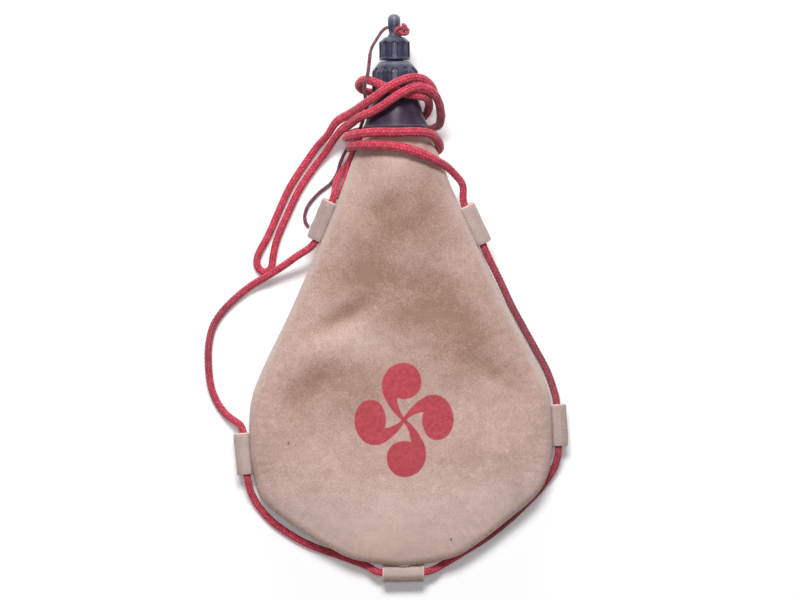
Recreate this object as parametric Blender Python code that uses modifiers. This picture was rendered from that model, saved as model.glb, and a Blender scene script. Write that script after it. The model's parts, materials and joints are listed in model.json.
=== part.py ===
# A one-litre leather wine bag lying on its back: two moulded suede panels sewn over a latex bladder,
# a spout with a screwed filler cap and stopper, and a braided cord through five loops on the seam.
# +Y runs from the base to the nozzle, +X to the right and +Z up from the ground it lies on.
import math

import bmesh
import bpy
import numpy as np
from mathutils import Matrix, Vector

mm = 0.001

# Clearances between pieces that touch, and the overrun of every cut
seat_gap = 0.3 * mm
thread_gap = 0.4 * mm
overrun = 1.0 * mm
axis_merge = 0.05 * mm

# Leather body
seam_length = 244.6 * mm
belly_half_width = 83.3 * mm
belly_rise = 27 * mm
belly_seam_height = 9 * mm
flattening = 1.5 * mm
neck_radius = 15.4 * mm
neck_straight = 4.5 * mm
neck_axis_height = 24 * mm
leather = 1.8 * mm
welt = 3.0 * mm
neck_welt = 0.8 * mm
welt_depth = 5.0 * mm
neck_welt_depth = 1.4 * mm
welt_taper_power = 10
rim_lip = 2.2 * mm
neck_rim_lip = 0.2 * mm
bladder_wall = 1.0 * mm
bladder_ease = 0.6 * mm
belly_lean = -2.0 * mm
body_rings = 26
body_ribs = 16
fine_digits = 7
bladder_ribs = 20
# Along the seam from the base, and across to it, as shares of seam_length and belly_half_width
outline_shares = (
    (0, 0),
    (0.018, 0.31),
    (0.044, 0.47),
    (0.092, 0.68),
    (0.155, 0.9),
    (0.215, 0.978),
    (0.28, 1),
    (0.375, 0.985),
    (0.45, 0.905),
    (0.575, 0.72),
    (0.72, 0.525),
    (0.84, 0.37),
    (0.93, 0.268),
)
belly_share = 0.3
shoulder_share = 0.36
# Where the leather leans to one side, and how far along the seam it does so, as shares of seam_length
lean_share = 0.12
lean_reach_share = 0.1

# Loops of folded strap in the seam
loop_width = 23 * mm
loop_strip = 1.4 * mm
loop_reach = 8.6 * mm
loop_foot = 2.2 * mm
loop_eye_radius = 2.7 * mm
loop_eye_slack = 1.4 * mm
loop_cord_share = 0.03
loop_flare = 30
loop_eye_flare = 50
loop_slot_height = 6 * mm
neck_loop_right_place = 186.5 * mm
neck_loop_left_place = 190 * mm
side_loop_right_place = 76.5 * mm
side_loop_left_place = 64 * mm

# Spout and collar
spout_bore = 8.5 * mm
spout_radius = 11 * mm
spout_rise = 24.8 * mm
sleeve_length = 20 * mm
sleeve_taper = 0.6 * mm
sleeve_barb = 3 * mm
spout_flange = 2.4 * mm
spout_chamfer = 0.6 * mm
collar_wall = 2.5 * mm
collar_radius = neck_radius + collar_wall
collar_rim = 1.3 * mm
collar_step = 0.7 * mm
collar_top_radius = 12.4 * mm
collar_height = 16.8 * mm
collar_grip = 3 * mm
collar_ease = 0.5 * mm
collar_flange_wall = 1.5 * mm
# Height and radius of the bell between its rim and its top, as shares
bell_shares = ((0.2, 0.78), (0.45, 0.5), (0.72, 0.27), (0.9, 0.09))

# Filler cap
filler_radius = 12.9 * mm
filler_top_radius = 8.3 * mm
filler_height = 18.4 * mm
filler_skirt = 12.8 * mm
filler_edge = 0.5 * mm
filler_lift_gap = 1.2 * mm
filler_flutes = 12
filler_flute_width = 4.2 * mm
filler_flute_height = 13.2 * mm
filler_flute_foot = 1.6 * mm
flute_depth = 0.7 * mm
gasket = 1.2 * mm

# Jet and stopper
jet_radius = 5 * mm
jet_flange = 7.4 * mm
jet_bore = 2.6 * mm
jet_hole = 0.9 * mm
jet_tip_radius = 2.3 * mm
jet_thread = 6.4 * mm
jet_tip = 2.6 * mm
stopper_radius = 8.4 * mm
stopper_top_radius = 5.7 * mm
stopper_height = 12.4 * mm
stopper_skirt = 9.8 * mm
stopper_lift_gap = 0.8 * mm
stopper_flutes = 10
stopper_flute_width = 3.5 * mm
stopper_flute_height = 8.6 * mm
stopper_flute_foot = 1.4 * mm
seal = 1.2 * mm
knob_stem_radius = 2.9 * mm
knob_stem = 3.5 * mm
knob_radius = 3.5 * mm
knob_length = 9.3 * mm
knob_dome = 1.1 * mm
knob_hole_radius = 1.5 * mm
knob_hole_place = 2.0 * mm

# Knots: across, along and up
strap_knot_size = (9.4 * mm, 8 * mm, 7 * mm)
strap_knot_place = (-17.6 * mm, 242.8 * mm, 6.4 * mm)
tether_knot_size = (4.6 * mm, 7.4 * mm, 5.8 * mm)
tether_end_gap = 0.4 * mm

# Cords
cord_radius = 2.0 * mm
tether_radius = 1.0 * mm
cord_spacing = 9 * mm
tether_spacing = 4.6 * mm
bight_spacing = 3.6 * mm
tail_spacing = 4.5 * mm
turn_points = 24

# Places along the bag, from the outer end of the base loop
seam_base = loop_reach
leather_top = seam_base + seam_length
collar_base = leather_top - collar_grip
spout_top = leather_top + spout_rise
filler_base = collar_base + collar_height + filler_lift_gap
filler_top = filler_base + filler_height
stopper_base = filler_top + stopper_lift_gap
stopper_top = stopper_base + stopper_height
knob_base = stopper_top + knob_stem
overall_length = knob_base + knob_length
origin_shift = overall_length / 2

scene = bpy.context.scene


def clear_scene():
    for item in list(bpy.data.objects):
        bpy.data.objects.remove(item, do_unlink=True)


def collection_named(name):
    made = bpy.data.collections.new(name)
    scene.collection.children.link(made)
    return made


clear_scene()
parts = collection_named("leather_bota_bag")
cutters = collection_named("cutters")


def material(name, colour, roughness, metallic=0.0):
    made = bpy.data.materials.new(name)
    made.use_nodes = True
    shader = made.node_tree.nodes["Principled BSDF"]
    shader.inputs["Base Color"].default_value = (*colour, 1)
    shader.inputs["Roughness"].default_value = roughness
    shader.inputs["Metallic"].default_value = metallic
    made.diffuse_color = (*colour, 1)
    return made


suede = material("suede", (0.56, 0.42, 0.35), 0.95)
suede_edge = material("suede_edge", (0.5, 0.36, 0.29), 0.95)
latex = material("latex", (0.05, 0.05, 0.05), 0.5)
navy_plastic = material("navy_plastic", (0.03, 0.03, 0.06), 0.25)
rubber = material("rubber", (0.75, 0.72, 0.66), 0.6)
red_cord = material("red_cord", (0.62, 0.06, 0.09), 0.8)
brown_cord = material("brown_cord", (0.24, 0.07, 0.08), 0.8)


def own_material(base, name):
    # Each piece has its own copy of the material that it is made of.
    made = base.copy()
    made.name = name + "_" + base.name
    return made


def mesh_object(name, bm, base, smooth=True):
    bmesh.ops.recalc_face_normals(bm, faces=bm.faces)
    mesh = bpy.data.meshes.new(name)
    bm.to_mesh(mesh)
    bm.free()
    made = bpy.data.objects.new(name, mesh)
    if base is None:
        cutters.objects.link(made)
        made.hide_render = True
        made.display_type = "WIRE"
        return made
    mesh.materials.append(own_material(base, name))
    parts.objects.link(made)
    if smooth:
        mesh.shade_smooth()
    return made


def cut(target, cutter):
    modifier = target.modifiers.new(cutter.name, "BOOLEAN")
    modifier.operation = "DIFFERENCE"
    modifier.solver = "EXACT"
    modifier.object = cutter


def thicken(target, thickness):
    # Gives an open surface its wall, inwards from the surface drawn.
    modifier = target.modifiers.new("wall", "SOLIDIFY")
    modifier.thickness = thickness
    modifier.offset = -1
    modifier.use_even_offset = False


def smooth_curve(points, spacing=None, count=None):
    # Points evenly spaced on a smooth curve through the ones given.
    given = [np.array(point, float) for point in points]
    ends = [2 * given[0] - given[1]] + given + [2 * given[-1] - given[-2]]
    fine = []
    for p0, p1, p2, p3 in zip(ends, ends[1:], ends[2:], ends[3:]):
        for t in np.linspace(0, 1, 16, endpoint=False):
            fine.append(
                (2 * p1 + (p2 - p0) * t + (2 * p0 - 5 * p1 + 4 * p2 - p3) * t**2
                 + (3 * p1 - p0 - 3 * p2 + p3) * t**3) / 2
            )
    fine = np.array(fine + [given[-1]])
    along = np.concatenate([[0], np.cumsum(np.linalg.norm(np.diff(fine, axis=0), axis=1))])
    if count is None:
        count = max(2, round(along[-1] / spacing) + 1)
    places = np.linspace(0, along[-1], count)
    return np.column_stack([np.interp(places, along, column) for column in fine.T])


def smooth_step(share):
    share = min(max(share, 0), 1)
    return share * share * (3 - 2 * share)


# Leather body. The seam outline is one half, from the base to the top edge at the neck.
def seam_points():
    points = [(across * belly_half_width, along * seam_length) for along, across in outline_shares]
    points.append((neck_radius, seam_length - neck_straight))
    return np.vstack([smooth_curve(points, count=body_rings), [(neck_radius, seam_length)]])


seam_half = seam_points()


def section_at(along):
    # Seam height, rise in front, depth behind, welt thickness and welt depth at a place on the seam.
    neck_start = seam_length * shoulder_share
    neck = smooth_step((along - neck_start) / (seam_length - neck_straight - neck_start))
    base = min(along / (seam_length * belly_share), 1)
    roundness = math.sqrt(1 - (1 - base) ** 2)
    belly_depth = belly_seam_height + flattening
    seam_height = belly_seam_height + (neck_axis_height - belly_seam_height) * neck
    rise = (belly_rise + (neck_radius - belly_rise) * neck) * roundness
    depth = (belly_depth + (neck_radius - belly_depth) * neck) * roundness
    strip = welt + (neck_welt - welt) * neck**welt_taper_power
    inset = welt_depth + (neck_welt_depth - welt_depth) * neck**welt_taper_power
    return seam_height, rise, depth, strip, inset


def lean_at(along):
    # How far the leather's middle line lies to the right at a place on the seam
    away = (along / seam_length - lean_share) / lean_reach_share
    return belly_lean * max(1 - away * away, 0) ** 2


def along_y(place):
    # A place along the seam, in the bag's frame.
    return seam_base + place - origin_shift


def face_between(bm, corners):
    # A face on the corners given, with any that repeat counted once.
    bm.faces.new(list(dict.fromkeys(corners)))


def panel_row(bm, half_width, along, side):
    # One rib of a leather half: up its lip at one rim, over the dome and down to the other rim.
    seam_height, rise, depth, strip, _ = section_at(along)
    neck = smooth_step(along / seam_length)
    rim = strip / 2 + seat_gap
    lip = rim + rim_lip + (neck_rim_lip - rim_lip) * neck**2
    reach = max((rise if side > 0 else depth) - lip, 0)
    edges = [(-half_width, rim)]
    for step in range(body_ribs + 1):
        turn = math.pi * (step / body_ribs - 0.5)
        edges.append((half_width * math.sin(turn), lip + reach * math.cos(turn)))
    edges.append((half_width, rim))
    made = {}
    row = []
    for x, height in edges:
        x = round(x + lean_at(along), fine_digits)
        place = (x, along_y(along), round(max(seam_height + side * height, 0), fine_digits))
        if place not in made:
            made[place] = bm.verts.new(place)
        row.append(made[place])
    return row


def panel(name, side):
    # One leather half, lofted from the base to the neck, with its rim beside the welt.
    bm = bmesh.new()
    rows = [panel_row(bm, half_width, along, side) for half_width, along in seam_half]
    for low, high in zip(rows, rows[1:]):
        for step in range(len(low) - 1):
            corners = [low[step], low[step + 1], high[step + 1], high[step]]
            face_between(bm, corners if side > 0 else corners[::-1])
    mesh = bpy.data.meshes.new(name)
    bm.to_mesh(mesh)
    bm.free()
    mesh.materials.append(own_material(suede, name))
    mesh.shade_smooth()
    made = bpy.data.objects.new(name, mesh)
    parts.objects.link(made)
    thicken(made, leather)
    return made


panel("front_panel", 1)
panel("back_panel", -1)


def seam_normals(points):
    # Outward directions across the half outline.
    slopes = np.gradient(points, axis=0)
    slopes[0] = (1, 0)
    slopes /= np.linalg.norm(slopes, axis=1)[:, None]
    return np.column_stack([slopes[:, 1], -slopes[:, 0]])


seam_out = seam_normals(seam_half)


def seam_welt():
    # The strip between the two rims, from one side of the neck round the base to the other.
    right = [(x, y, nx, ny) for (x, y), (nx, ny) in zip(seam_half, seam_out)]
    left = [(-x, y, -nx, ny) for x, y, nx, ny in right[:0:-1]]
    bm = bmesh.new()
    rows = []
    for x, y, nx, ny in left + right:
        seam_height, _, _, strip, inset = section_at(y)
        row = []
        for offset, lift in ((0, -1), (0, 1), (inset, 1), (inset, -1)):
            across = x - nx * offset + lean_at(y)
            place = (across, along_y(y - ny * offset), seam_height + lift * strip / 2)
            row.append(bm.verts.new(place))
        rows.append(row)
    for one, other in zip(rows, rows[1:]):
        for step in range(4):
            after = (step + 1) % 4
            bm.faces.new((one[step], one[after], other[after], other[step]))
    bm.faces.new(rows[0][::-1])
    bm.faces.new(rows[-1])
    return mesh_object("seam_welt", bm, suede_edge, smooth=False)


welt_strip = seam_welt()


# Loops. Each has a frame on the seam: out of the bag, along the seam and up through the strap.
def loop_frame(place, side):
    # Matrix with X out of the seam and Z along it, at a place along the seam on one side.
    x = np.interp(place, seam_half[:, 1], seam_half[:, 0])
    step = loop_width / 2
    ends = []
    for at in (place - step, place + step):
        ends.append(Vector((
            side * np.interp(at, seam_half[:, 1], seam_half[:, 0]), along_y(at), section_at(at)[0]
        )))
    tangent = (ends[1] - ends[0]).normalized()
    out = Vector((side * tangent.y, -side * tangent.x, 0)).normalized()
    return frame_matrix(Vector((side * x, along_y(place), section_at(place)[0])), out, tangent)


def frame_matrix(origin, out, tangent):
    third = tangent.cross(out)
    matrix = Matrix((out, third, tangent)).transposed().to_4x4()
    matrix.translation = origin
    return matrix


def arc(centre, radius, start, end, steps):
    return [
        (centre + radius * math.cos(a), radius * math.sin(a))
        for a in np.radians(np.linspace(start, end, steps + 1))
    ]


def prism(bm, outline, depth):
    # A flat outline in X and Y, given the depth along Z, centred on the outline's plane.
    base = bm.faces.new([bm.verts.new((x, y, -depth / 2)) for x, y in outline])
    made = bmesh.ops.extrude_face_region(bm, geom=[base])["geom"]
    moved = [item for item in made if isinstance(item, bmesh.types.BMVert)]
    bmesh.ops.translate(bm, verts=moved, vec=(0, 0, depth))


def loop_outlines():
    # The folded strap from the side, and the eye that the cord runs through.
    far = loop_reach - loop_strip - loop_eye_radius
    near = far - loop_eye_slack
    outer_radius = loop_eye_radius + loop_strip
    outer = [(-loop_foot, -loop_strip), (0, -loop_strip)]
    wide, wider = 90 + loop_flare, 90 + loop_eye_flare
    outer += arc(near, outer_radius, -wide, -90, 2) + arc(far, outer_radius, -90, 90, 8)
    outer += arc(near, outer_radius, 90, wide, 2) + [(0, loop_strip), (-loop_foot, loop_strip)]
    eye = arc(far, loop_eye_radius, -90, 90, 8) + arc(near, loop_eye_radius, 90, wider, 2)
    eye += [(near - loop_eye_radius, 0)] + arc(near, loop_eye_radius, -wider, -90, 2)
    return outer, eye


def seam_loop(name, matrix):
    outer, eye = loop_outlines()
    curve = bpy.data.curves.new(name, "CURVE")
    curve.dimensions = "2D"
    curve.fill_mode = "BOTH"
    curve.extrude = loop_width / 2
    for outline in (outer, eye):
        spline = curve.splines.new("POLY")
        spline.points.add(len(outline) - 1)
        for point, (x, y) in zip(spline.points, outline):
            point.co = (x, y, 0, 1)
        spline.use_cyclic_u = True
    curve.materials.append(own_material(suede, name))
    made = bpy.data.objects.new(name, curve)
    made.matrix_world = matrix
    parts.objects.link(made)
    bm = bmesh.new()
    depth = loop_foot + seat_gap + overrun
    size = (depth, loop_slot_height, loop_width + 2 * seat_gap)
    centre = Vector((overrun - depth / 2, 0, 0))
    bmesh.ops.create_cube(bm, size=1, matrix=Matrix.Translation(centre) @ Matrix.Diagonal((*size, 1)))
    slot = mesh_object(name + "_slot", bm, None)
    slot.matrix_world = matrix
    cut(welt_strip, slot)
    return made


base_frame = frame_matrix(
    Vector((0, along_y(0), belly_seam_height)), Vector((0, -1, 0)), Vector((1, 0, 0))
)
loop_frames = {
    "loop_neck_right": loop_frame(neck_loop_right_place, 1),
    "loop_side_right": loop_frame(side_loop_right_place, 1),
    "loop_base": base_frame,
    "loop_side_left": loop_frame(side_loop_left_place, -1),
    "loop_neck_left": loop_frame(neck_loop_left_place, -1),
}
for loop_name, frame in loop_frames.items():
    seam_loop(loop_name, frame)


def bladder():
    # The liner inside the panels and the welt, closed at the base and open at the neck.
    bm = bmesh.new()
    rows = []
    around = bladder_ribs
    for (half_width, along), (nx, ny) in zip(seam_half, seam_out):
        inset = section_at(along)[4]
        inset = max(inset, leather) + seat_gap
        x = half_width - nx * inset
        y = along - ny * inset
        seam_height, rise, depth, _, _ = section_at(y)
        ease = leather + seat_gap + bladder_ease * (1 - smooth_step(along / seam_length))
        floor = leather + seat_gap
        if half_width == 0:
            rows.append([bm.verts.new((0, along_y(y), seam_height))])
            continue
        row = []
        for step in range(around):
            turn = 2 * math.pi * step / around
            reach = (rise if math.sin(turn) > 0 else depth) - ease
            height = seam_height + reach * math.sin(turn)
            across = x * math.cos(turn) + lean_at(along)
            row.append(bm.verts.new((across, along_y(y), max(height, floor))))
        rows.append(row)
    for low, high in zip(rows, rows[1:]):
        for step in range(around):
            after = (step + 1) % around
            if len(low) == 1:
                bm.faces.new((low[0], high[after], high[step]))
            else:
                bm.faces.new((low[step], low[after], high[after], high[step]))
    made = mesh_object("bladder", bm, latex)
    thicken(made, bladder_wall)
    return made


bladder()


# Nozzle. Each turned piece stands on its own base, on the nozzle's axis.
def turned(name, profile, place, base, steps, closed=True):
    # A profile of radius and height turned round the nozzle's axis; a closed one has a bore.
    bm = bmesh.new()
    corners = [bm.verts.new((radius, 0, height)) for radius, height in profile]
    for one, other in zip(corners, corners[1:]):
        bm.edges.new((one, other))
    if closed:
        bm.edges.new((corners[-1], corners[0]))
    mesh = bpy.data.meshes.new(name)
    bm.to_mesh(mesh)
    bm.free()
    made = bpy.data.objects.new(name, mesh)
    made.location = (0, place - origin_shift, neck_axis_height)
    made.rotation_euler = (-math.pi / 2, 0, 0)
    mesh.materials.append(own_material(base, name))
    parts.objects.link(made)
    screw = made.modifiers.new("turn", "SCREW")
    screw.axis = "Z"
    screw.steps = steps
    screw.render_steps = steps
    screw.use_smooth_shade = False
    screw.use_normal_flip = True
    screw.use_merge_vertices = True
    screw.merge_threshold = axis_merge
    return made


def flute_cutters(name, target, count, radius, width, height, foot):
    # Arch-topped grooves round a cap, the first one facing up.
    bm = bmesh.new()
    straight = height - width / 2
    outline = [(-width / 2, foot), (width / 2, foot)]
    outline += [
        (width / 2 * math.cos(a), foot + straight + width / 2 * math.sin(a))
        for a in np.radians(np.linspace(0, 180, 7))
    ]
    for number in range(count):
        before = set(bm.verts)
        prism(bm, outline, flute_depth + overrun)
        fresh = [vert for vert in bm.verts if vert not in before]
        turn = Matrix.Rotation(2 * math.pi * number / count, 4, "Z")
        outwards = Matrix.Translation((0, -radius + (flute_depth - overrun) / 2, 0))
        upright = Matrix.Rotation(math.pi / 2, 4, "X")
        bmesh.ops.transform(bm, verts=fresh, matrix=turn @ outwards @ upright)
    cutter = mesh_object(name, bm, None)
    cutter.matrix_world = target_matrix(target)
    cut(target, cutter)


def target_matrix(target):
    return Matrix.LocRotScale(target.location, target.rotation_euler, None)


sleeve_radius = neck_radius - leather - bladder_wall - 2 * seat_gap
sleeve_flange_radius = neck_radius - leather + collar_flange_wall / 2
flange_base = leather_top + seat_gap - (leather_top - sleeve_length)
flange_top = flange_base + spout_flange
insert_height = sleeve_length + spout_rise
turned(
    "neck_insert",
    (
        (spout_bore, 0),
        (sleeve_radius - sleeve_taper, 0),
        (sleeve_radius, sleeve_barb),
        (sleeve_radius - sleeve_taper, sleeve_barb),
        (sleeve_radius, 2 * sleeve_barb),
        (sleeve_radius, flange_base),
        (sleeve_flange_radius, flange_base),
        (sleeve_flange_radius, flange_top),
        (spout_radius, flange_top),
        (spout_radius, insert_height - spout_chamfer),
        (spout_radius - spout_chamfer, insert_height),
        (spout_bore, insert_height),
    ),
    leather_top - sleeve_length,
    navy_plastic,
    48,
)


def bell_profile():
    # The collar's bell outside, and inside it the grip on the leather, the flange seat and the spout's hole.
    rise = collar_height - collar_rim
    drop = collar_radius - collar_step - collar_top_radius
    outside = [(collar_radius, 0), (collar_radius, collar_rim), (collar_radius - collar_step, collar_rim)]
    outside += [
        (collar_top_radius + drop * radius_share, collar_rim + rise * height_share)
        for height_share, radius_share in bell_shares
    ]
    outside.append((collar_top_radius, collar_height))
    seat = collar_grip + spout_flange + 2 * seat_gap
    hole = spout_radius + seat_gap
    inside = [
        (hole, collar_height),
        (hole, seat),
        (sleeve_flange_radius + seat_gap, seat),
        (sleeve_flange_radius + seat_gap, collar_grip),
        (neck_radius + collar_ease, collar_grip),
        (neck_radius + collar_ease, 0),
    ]
    return outside + inside


turned("collar", bell_profile(), collar_base, navy_plastic, 48)

filler_bore = spout_radius + thread_gap
filler_ceiling = spout_top + gasket + 2 * seat_gap - filler_base
jet_passage = jet_radius + seat_gap
filler_cap = turned(
    "filler_cap",
    (
        (filler_bore, 0),
        (filler_radius - filler_edge, 0),
        (filler_radius, filler_edge),
        (filler_radius, filler_skirt),
        (filler_top_radius + filler_edge, filler_height - filler_edge),
        (filler_top_radius, filler_height),
        (jet_passage, filler_height),
        (jet_passage, filler_ceiling),
        (filler_bore, filler_ceiling),
    ),
    filler_base,
    navy_plastic,
    48,
)
flute_cutters(
    "filler_flutes", filler_cap, filler_flutes, filler_radius,
    filler_flute_width, filler_flute_height, filler_flute_foot,
)
turned(
    "filler_gasket",
    ((spout_bore, 0), (spout_radius, 0), (spout_radius, gasket), (spout_bore, gasket)),
    spout_top + seat_gap,
    rubber,
    32,
)

jet_base = spout_top + seat_gap
jet_shoulder = filler_top + jet_thread - jet_base
jet_length = jet_shoulder + jet_tip
turned(
    "jet_nozzle",
    (
        (jet_bore, 0),
        (jet_flange, 0),
        (jet_flange, gasket),
        (jet_radius, gasket),
        (jet_radius, jet_shoulder),
        (jet_tip_radius, jet_length),
        (jet_hole, jet_length),
        (jet_hole, jet_shoulder),
        (jet_bore, jet_shoulder - (jet_bore - jet_hole)),
    ),
    jet_base,
    navy_plastic,
    32,
)
stopper_bore = jet_radius + thread_gap
seal_base = jet_base + jet_length + seat_gap
stopper_ceiling = seal_base + seal + seat_gap - stopper_base
turned(
    "stopper_seal",
    ((0, 0), (jet_radius, 0), (jet_radius, seal), (0, seal)),
    seal_base,
    rubber,
    32,
    closed=False,
)
knob_foot = stopper_height + knob_stem
stopper_cap = turned(
    "stopper_cap",
    (
        (0, stopper_ceiling),
        (stopper_bore, stopper_ceiling),
        (stopper_bore, 0),
        (stopper_radius - filler_edge, 0),
        (stopper_radius, filler_edge),
        (stopper_radius, stopper_skirt),
        (stopper_top_radius, stopper_height),
        (knob_stem_radius + filler_edge, stopper_height),
        (knob_stem_radius, stopper_height + filler_edge),
        (knob_stem_radius, knob_foot - filler_edge),
        (knob_radius, knob_foot),
        (knob_radius, knob_foot + knob_length - knob_dome),
        (knob_radius - knob_dome, knob_foot + knob_length),
        (0, knob_foot + knob_length),
    ),
    stopper_base,
    navy_plastic,
    40,
    closed=False,
)
flute_cutters(
    "stopper_flutes", stopper_cap, stopper_flutes, stopper_radius,
    stopper_flute_width, stopper_flute_height, stopper_flute_foot,
)
knob_hole_y = knob_base + knob_hole_place


def knob_hole():
    # The cross hole that the tether runs through.
    bm = bmesh.new()
    bmesh.ops.create_cone(
        bm, cap_ends=True, segments=16, radius1=knob_hole_radius, radius2=knob_hole_radius,
        depth=2 * knob_radius + 2 * overrun, matrix=Matrix.Rotation(math.pi / 2, 4, "Y"),
    )
    cutter = mesh_object("knob_hole", bm, None)
    cutter.location = (0, knob_hole_y - origin_shift, neck_axis_height)
    cut(stopper_cap, cutter)


knob_hole()


# Cords. A route is in millimetres: across, along from the outer end of the base loop, and up.
def in_frame(route):
    return [Vector((x * mm, y * mm - origin_shift, z * mm)) for x, y, z in route]


def cord(name, points, radius, base, resolution):
    curve = bpy.data.curves.new(name, "CURVE")
    curve.dimensions = "3D"
    curve.bevel_depth = radius
    curve.bevel_resolution = resolution
    curve.use_fill_caps = True
    spline = curve.splines.new("POLY")
    spline.points.add(len(points) - 1)
    for point, place in zip(spline.points, points):
        point.co = (*place, 1)
    curve.materials.append(own_material(base, name))
    made = bpy.data.objects.new(name, curve)
    parts.objects.link(made)
    return made


def lashing(name, keys):
    # Turns round the nozzle's axis, from keys of angle in degrees, radius and place in millimetres.
    turns = sum(abs(after[0] - before[0]) for before, after in zip(keys, keys[1:])) / 360
    points = []
    for angle, radius, place in smooth_curve(keys, count=round(turns * turn_points) + 1):
        across = radius * math.cos(math.radians(angle))
        up = radius * math.sin(math.radians(angle))
        points.append(Vector((
            across * mm, place * mm - origin_shift, neck_axis_height + up * mm
        )))
    print(name, "turns", round(turns, 2), "least gap to itself, mm:", round(self_gap(points) / mm, 2))
    return cord(name, points, cord_radius, red_cord, 1)


def self_gap(points):
    # The least distance between the cord's surface and itself, off its own neighbourhood.
    fine = smooth_curve(points, spacing=cord_radius / 2)
    apart = np.linalg.norm(fine[:, None] - fine[None], axis=2)
    numbers = np.arange(len(fine))
    along = np.abs(numbers[:, None] - numbers[None]) * cord_radius / 2
    return apart[along > math.pi * 2 * cord_radius].min() - 2 * cord_radius


upper_lashing_keys = (
    (-143, 21.5, 247.6),
    (-143, 20.3, 251.5),
    (-132, 20.3, 255.6),
    (-90, 20.3, 257.5),
    (-45, 20.3, 255.6),
    (-20, 19.3, 260),
    (5, 18.4, 264.6),
    (40, 18.2, 267),
    (65, 16.2, 268),
    (90, 15.5, 270),
    (115, 15.6, 272.8),
    (140, 16.2, 275.6),
    (165, 18, 276.8),
    (188, 20.4, 274),
    (210, 19.6, 271),
    (240, 17.6, 270.4),
    (270, 17.2, 270.4),
    (320, 19, 269.4),
    (350, 21.2, 269.4),
    (375, 20.6, 272.4),
    (398, 20.3, 276),
    (420, 20.3, 277.2),
    (440, 20.3, 275.4),
    (460, 20.3, 272),
    (480, 20.3, 267.4),
    (500, 20.3, 264),
    (518, 21.2, 261.4),
    (530, 22.4, 259.8),
    (538, 24.3, 258.3),
)
lower_lashing_keys = (
    (184, 24.2, 253.1),
    (175, 22.4, 254.6),
    (160, 21.2, 256.2),
    (140, 20.4, 257.6),
    (115, 20.3, 260.7),
    (90, 20.6, 266.6),
    (65, 20.7, 271.4),
    (45, 21.2, 272),
    (25, 22.8, 269),
    (8, 24, 264),
    (-8, 25.2, 257.6),
    (-20, 26.4, 252.8),
    (-35, 26, 250),
    (-60, 22.6, 249.6),
    (-90, 21.2, 249.8),
    (-120, 23.8, 249.8),
    (-145, 26.4, 249.2),
    (-165, 27, 247),
    (-180, 27.4, 245.3),
    (-200, 26.8, 245.9),
    (-220, 23.8, 247),
    (-245, 21, 247.4),
    (-270, 20.4, 247),
    (-300, 20.8, 247.3),
    (-328, 22, 246.3),
    (-348, 22.8, 243.4),
    (-366, 24, 239.8),
    (-386, 25, 237),
    (-412, 22.6, 236),
    (-450, 20, 236),
    (-482, 21, 236.8),
    (-500, 21.9, 237.4),
    (-518, 23.8, 238.6),
    (-540, 25.6, 240),
    (-560, 25.2, 240.7),
    (-582, 23.4, 240.5),
    (-606, 21.4, 240.3),
    (-630, 20.9, 239.4),
    (-655, 21.4, 237.2),
    (-678, 23.2, 234),
)
lashing("strap_lashing_upper", upper_lashing_keys)
lashing("strap_lashing_lower", lower_lashing_keys)

bight_route = (
    (-24.7, 258, 24.2),
    (-28.2, 256.9, 20.8),
    (-33.2, 253.9, 15.4),
    (-38, 247, 9),
    (-43.5, 241.6, 3.8),
    (-50.2, 232.6, 2.2),
    (-59, 219.5, 2.2),
    (-65.4, 206.3, 2.2),
    (-71.4, 193, 2.2),
    (-76.9, 183.2, 2.2),
    (-78.4, 177.6, 2.2),
    (-76.9, 173.8, 2.2),
    (-73.2, 172, 2.2),
    (-70, 174.8, 2.2),
    (-69.4, 179.5, 2.2),
    (-66.8, 190.5, 2.2),
    (-60.6, 204.4, 2.2),
    (-54.2, 217.4, 2.2),
    (-45.4, 230.2, 2.2),
    (-38.8, 238.2, 4.4),
    (-34.2, 245, 10),
    (-29, 250.6, 17),
    (-24.4, 252.9, 21.8),
)
run_route_to_neck_loop = (
    (17.5, 233.8, 39.1),
    (22.6, 231, 34.4),
    (27.4, 228.4, 30),
    (32, 224, 26),
    (36.4, 218, 23.2),
)
run_route_down_right = (
    (48.8, 180.5, 17.6),
    (56, 165.4, 13.4),
    (62, 152, 10),
    (68.4, 139.7, 8),
    (75, 127.4, 7),
    (81.6, 114.4, 7),
    (85.8, 101, 8),
)
run_route_to_base = (
    (86.4, 68, 7.6),
    (83.9, 60.5, 4.6),
    (76.6, 50, 2.5),
    (68.4, 41.6, 2.2),
    (58.6, 32.6, 2.2),
    (46.4, 23.4, 2.2),
    (34.2, 16, 2.2),
    (23, 9.6, 4.2),
)
run_route_up_left = (
    (-19, 8.6, 6.6),
    (-26.8, 11.6, 4.4),
    (-35.6, 14.9, 2.8),
    (-44.4, 18, 2.2),
    (-53.4, 21.8, 2.2),
    (-61.8, 26.6, 2.2),
    (-71.6, 33.8, 2.2),
    (-78.6, 41.6, 2.6),
    (-83.3, 50.2, 5.2),
)
run_route_free_left = (
    (-90.4, 89.4, 6.8),
    (-96.4, 93.8, 3),
    (-102, 101.8, 2.2),
    (-105.1, 111.7, 2.2),
    (-106, 124.9, 2.2),
    (-105.3, 134.2, 2.2),
    (-102.9, 143, 2.2),
    (-97.8, 150.7, 2.2),
    (-90, 158.4, 2.6),
    (-81.1, 165.2, 4),
    (-72.2, 170.2, 7),
    (-63.8, 175.2, 10.4),
    (-56.2, 180.4, 14.6),
)
run_route_to_knot = (
    (-34.2, 214.6, 20.6),
    (-33.8, 218.2, 16.2),
    (-32.6, 222.6, 9.2),
    (-30.2, 227, 4.4),
    (-27, 231, 2.6),
    (-24.4, 235.8, 2.4),
    (-21.2, 240.4, 3.5),
)


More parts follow.
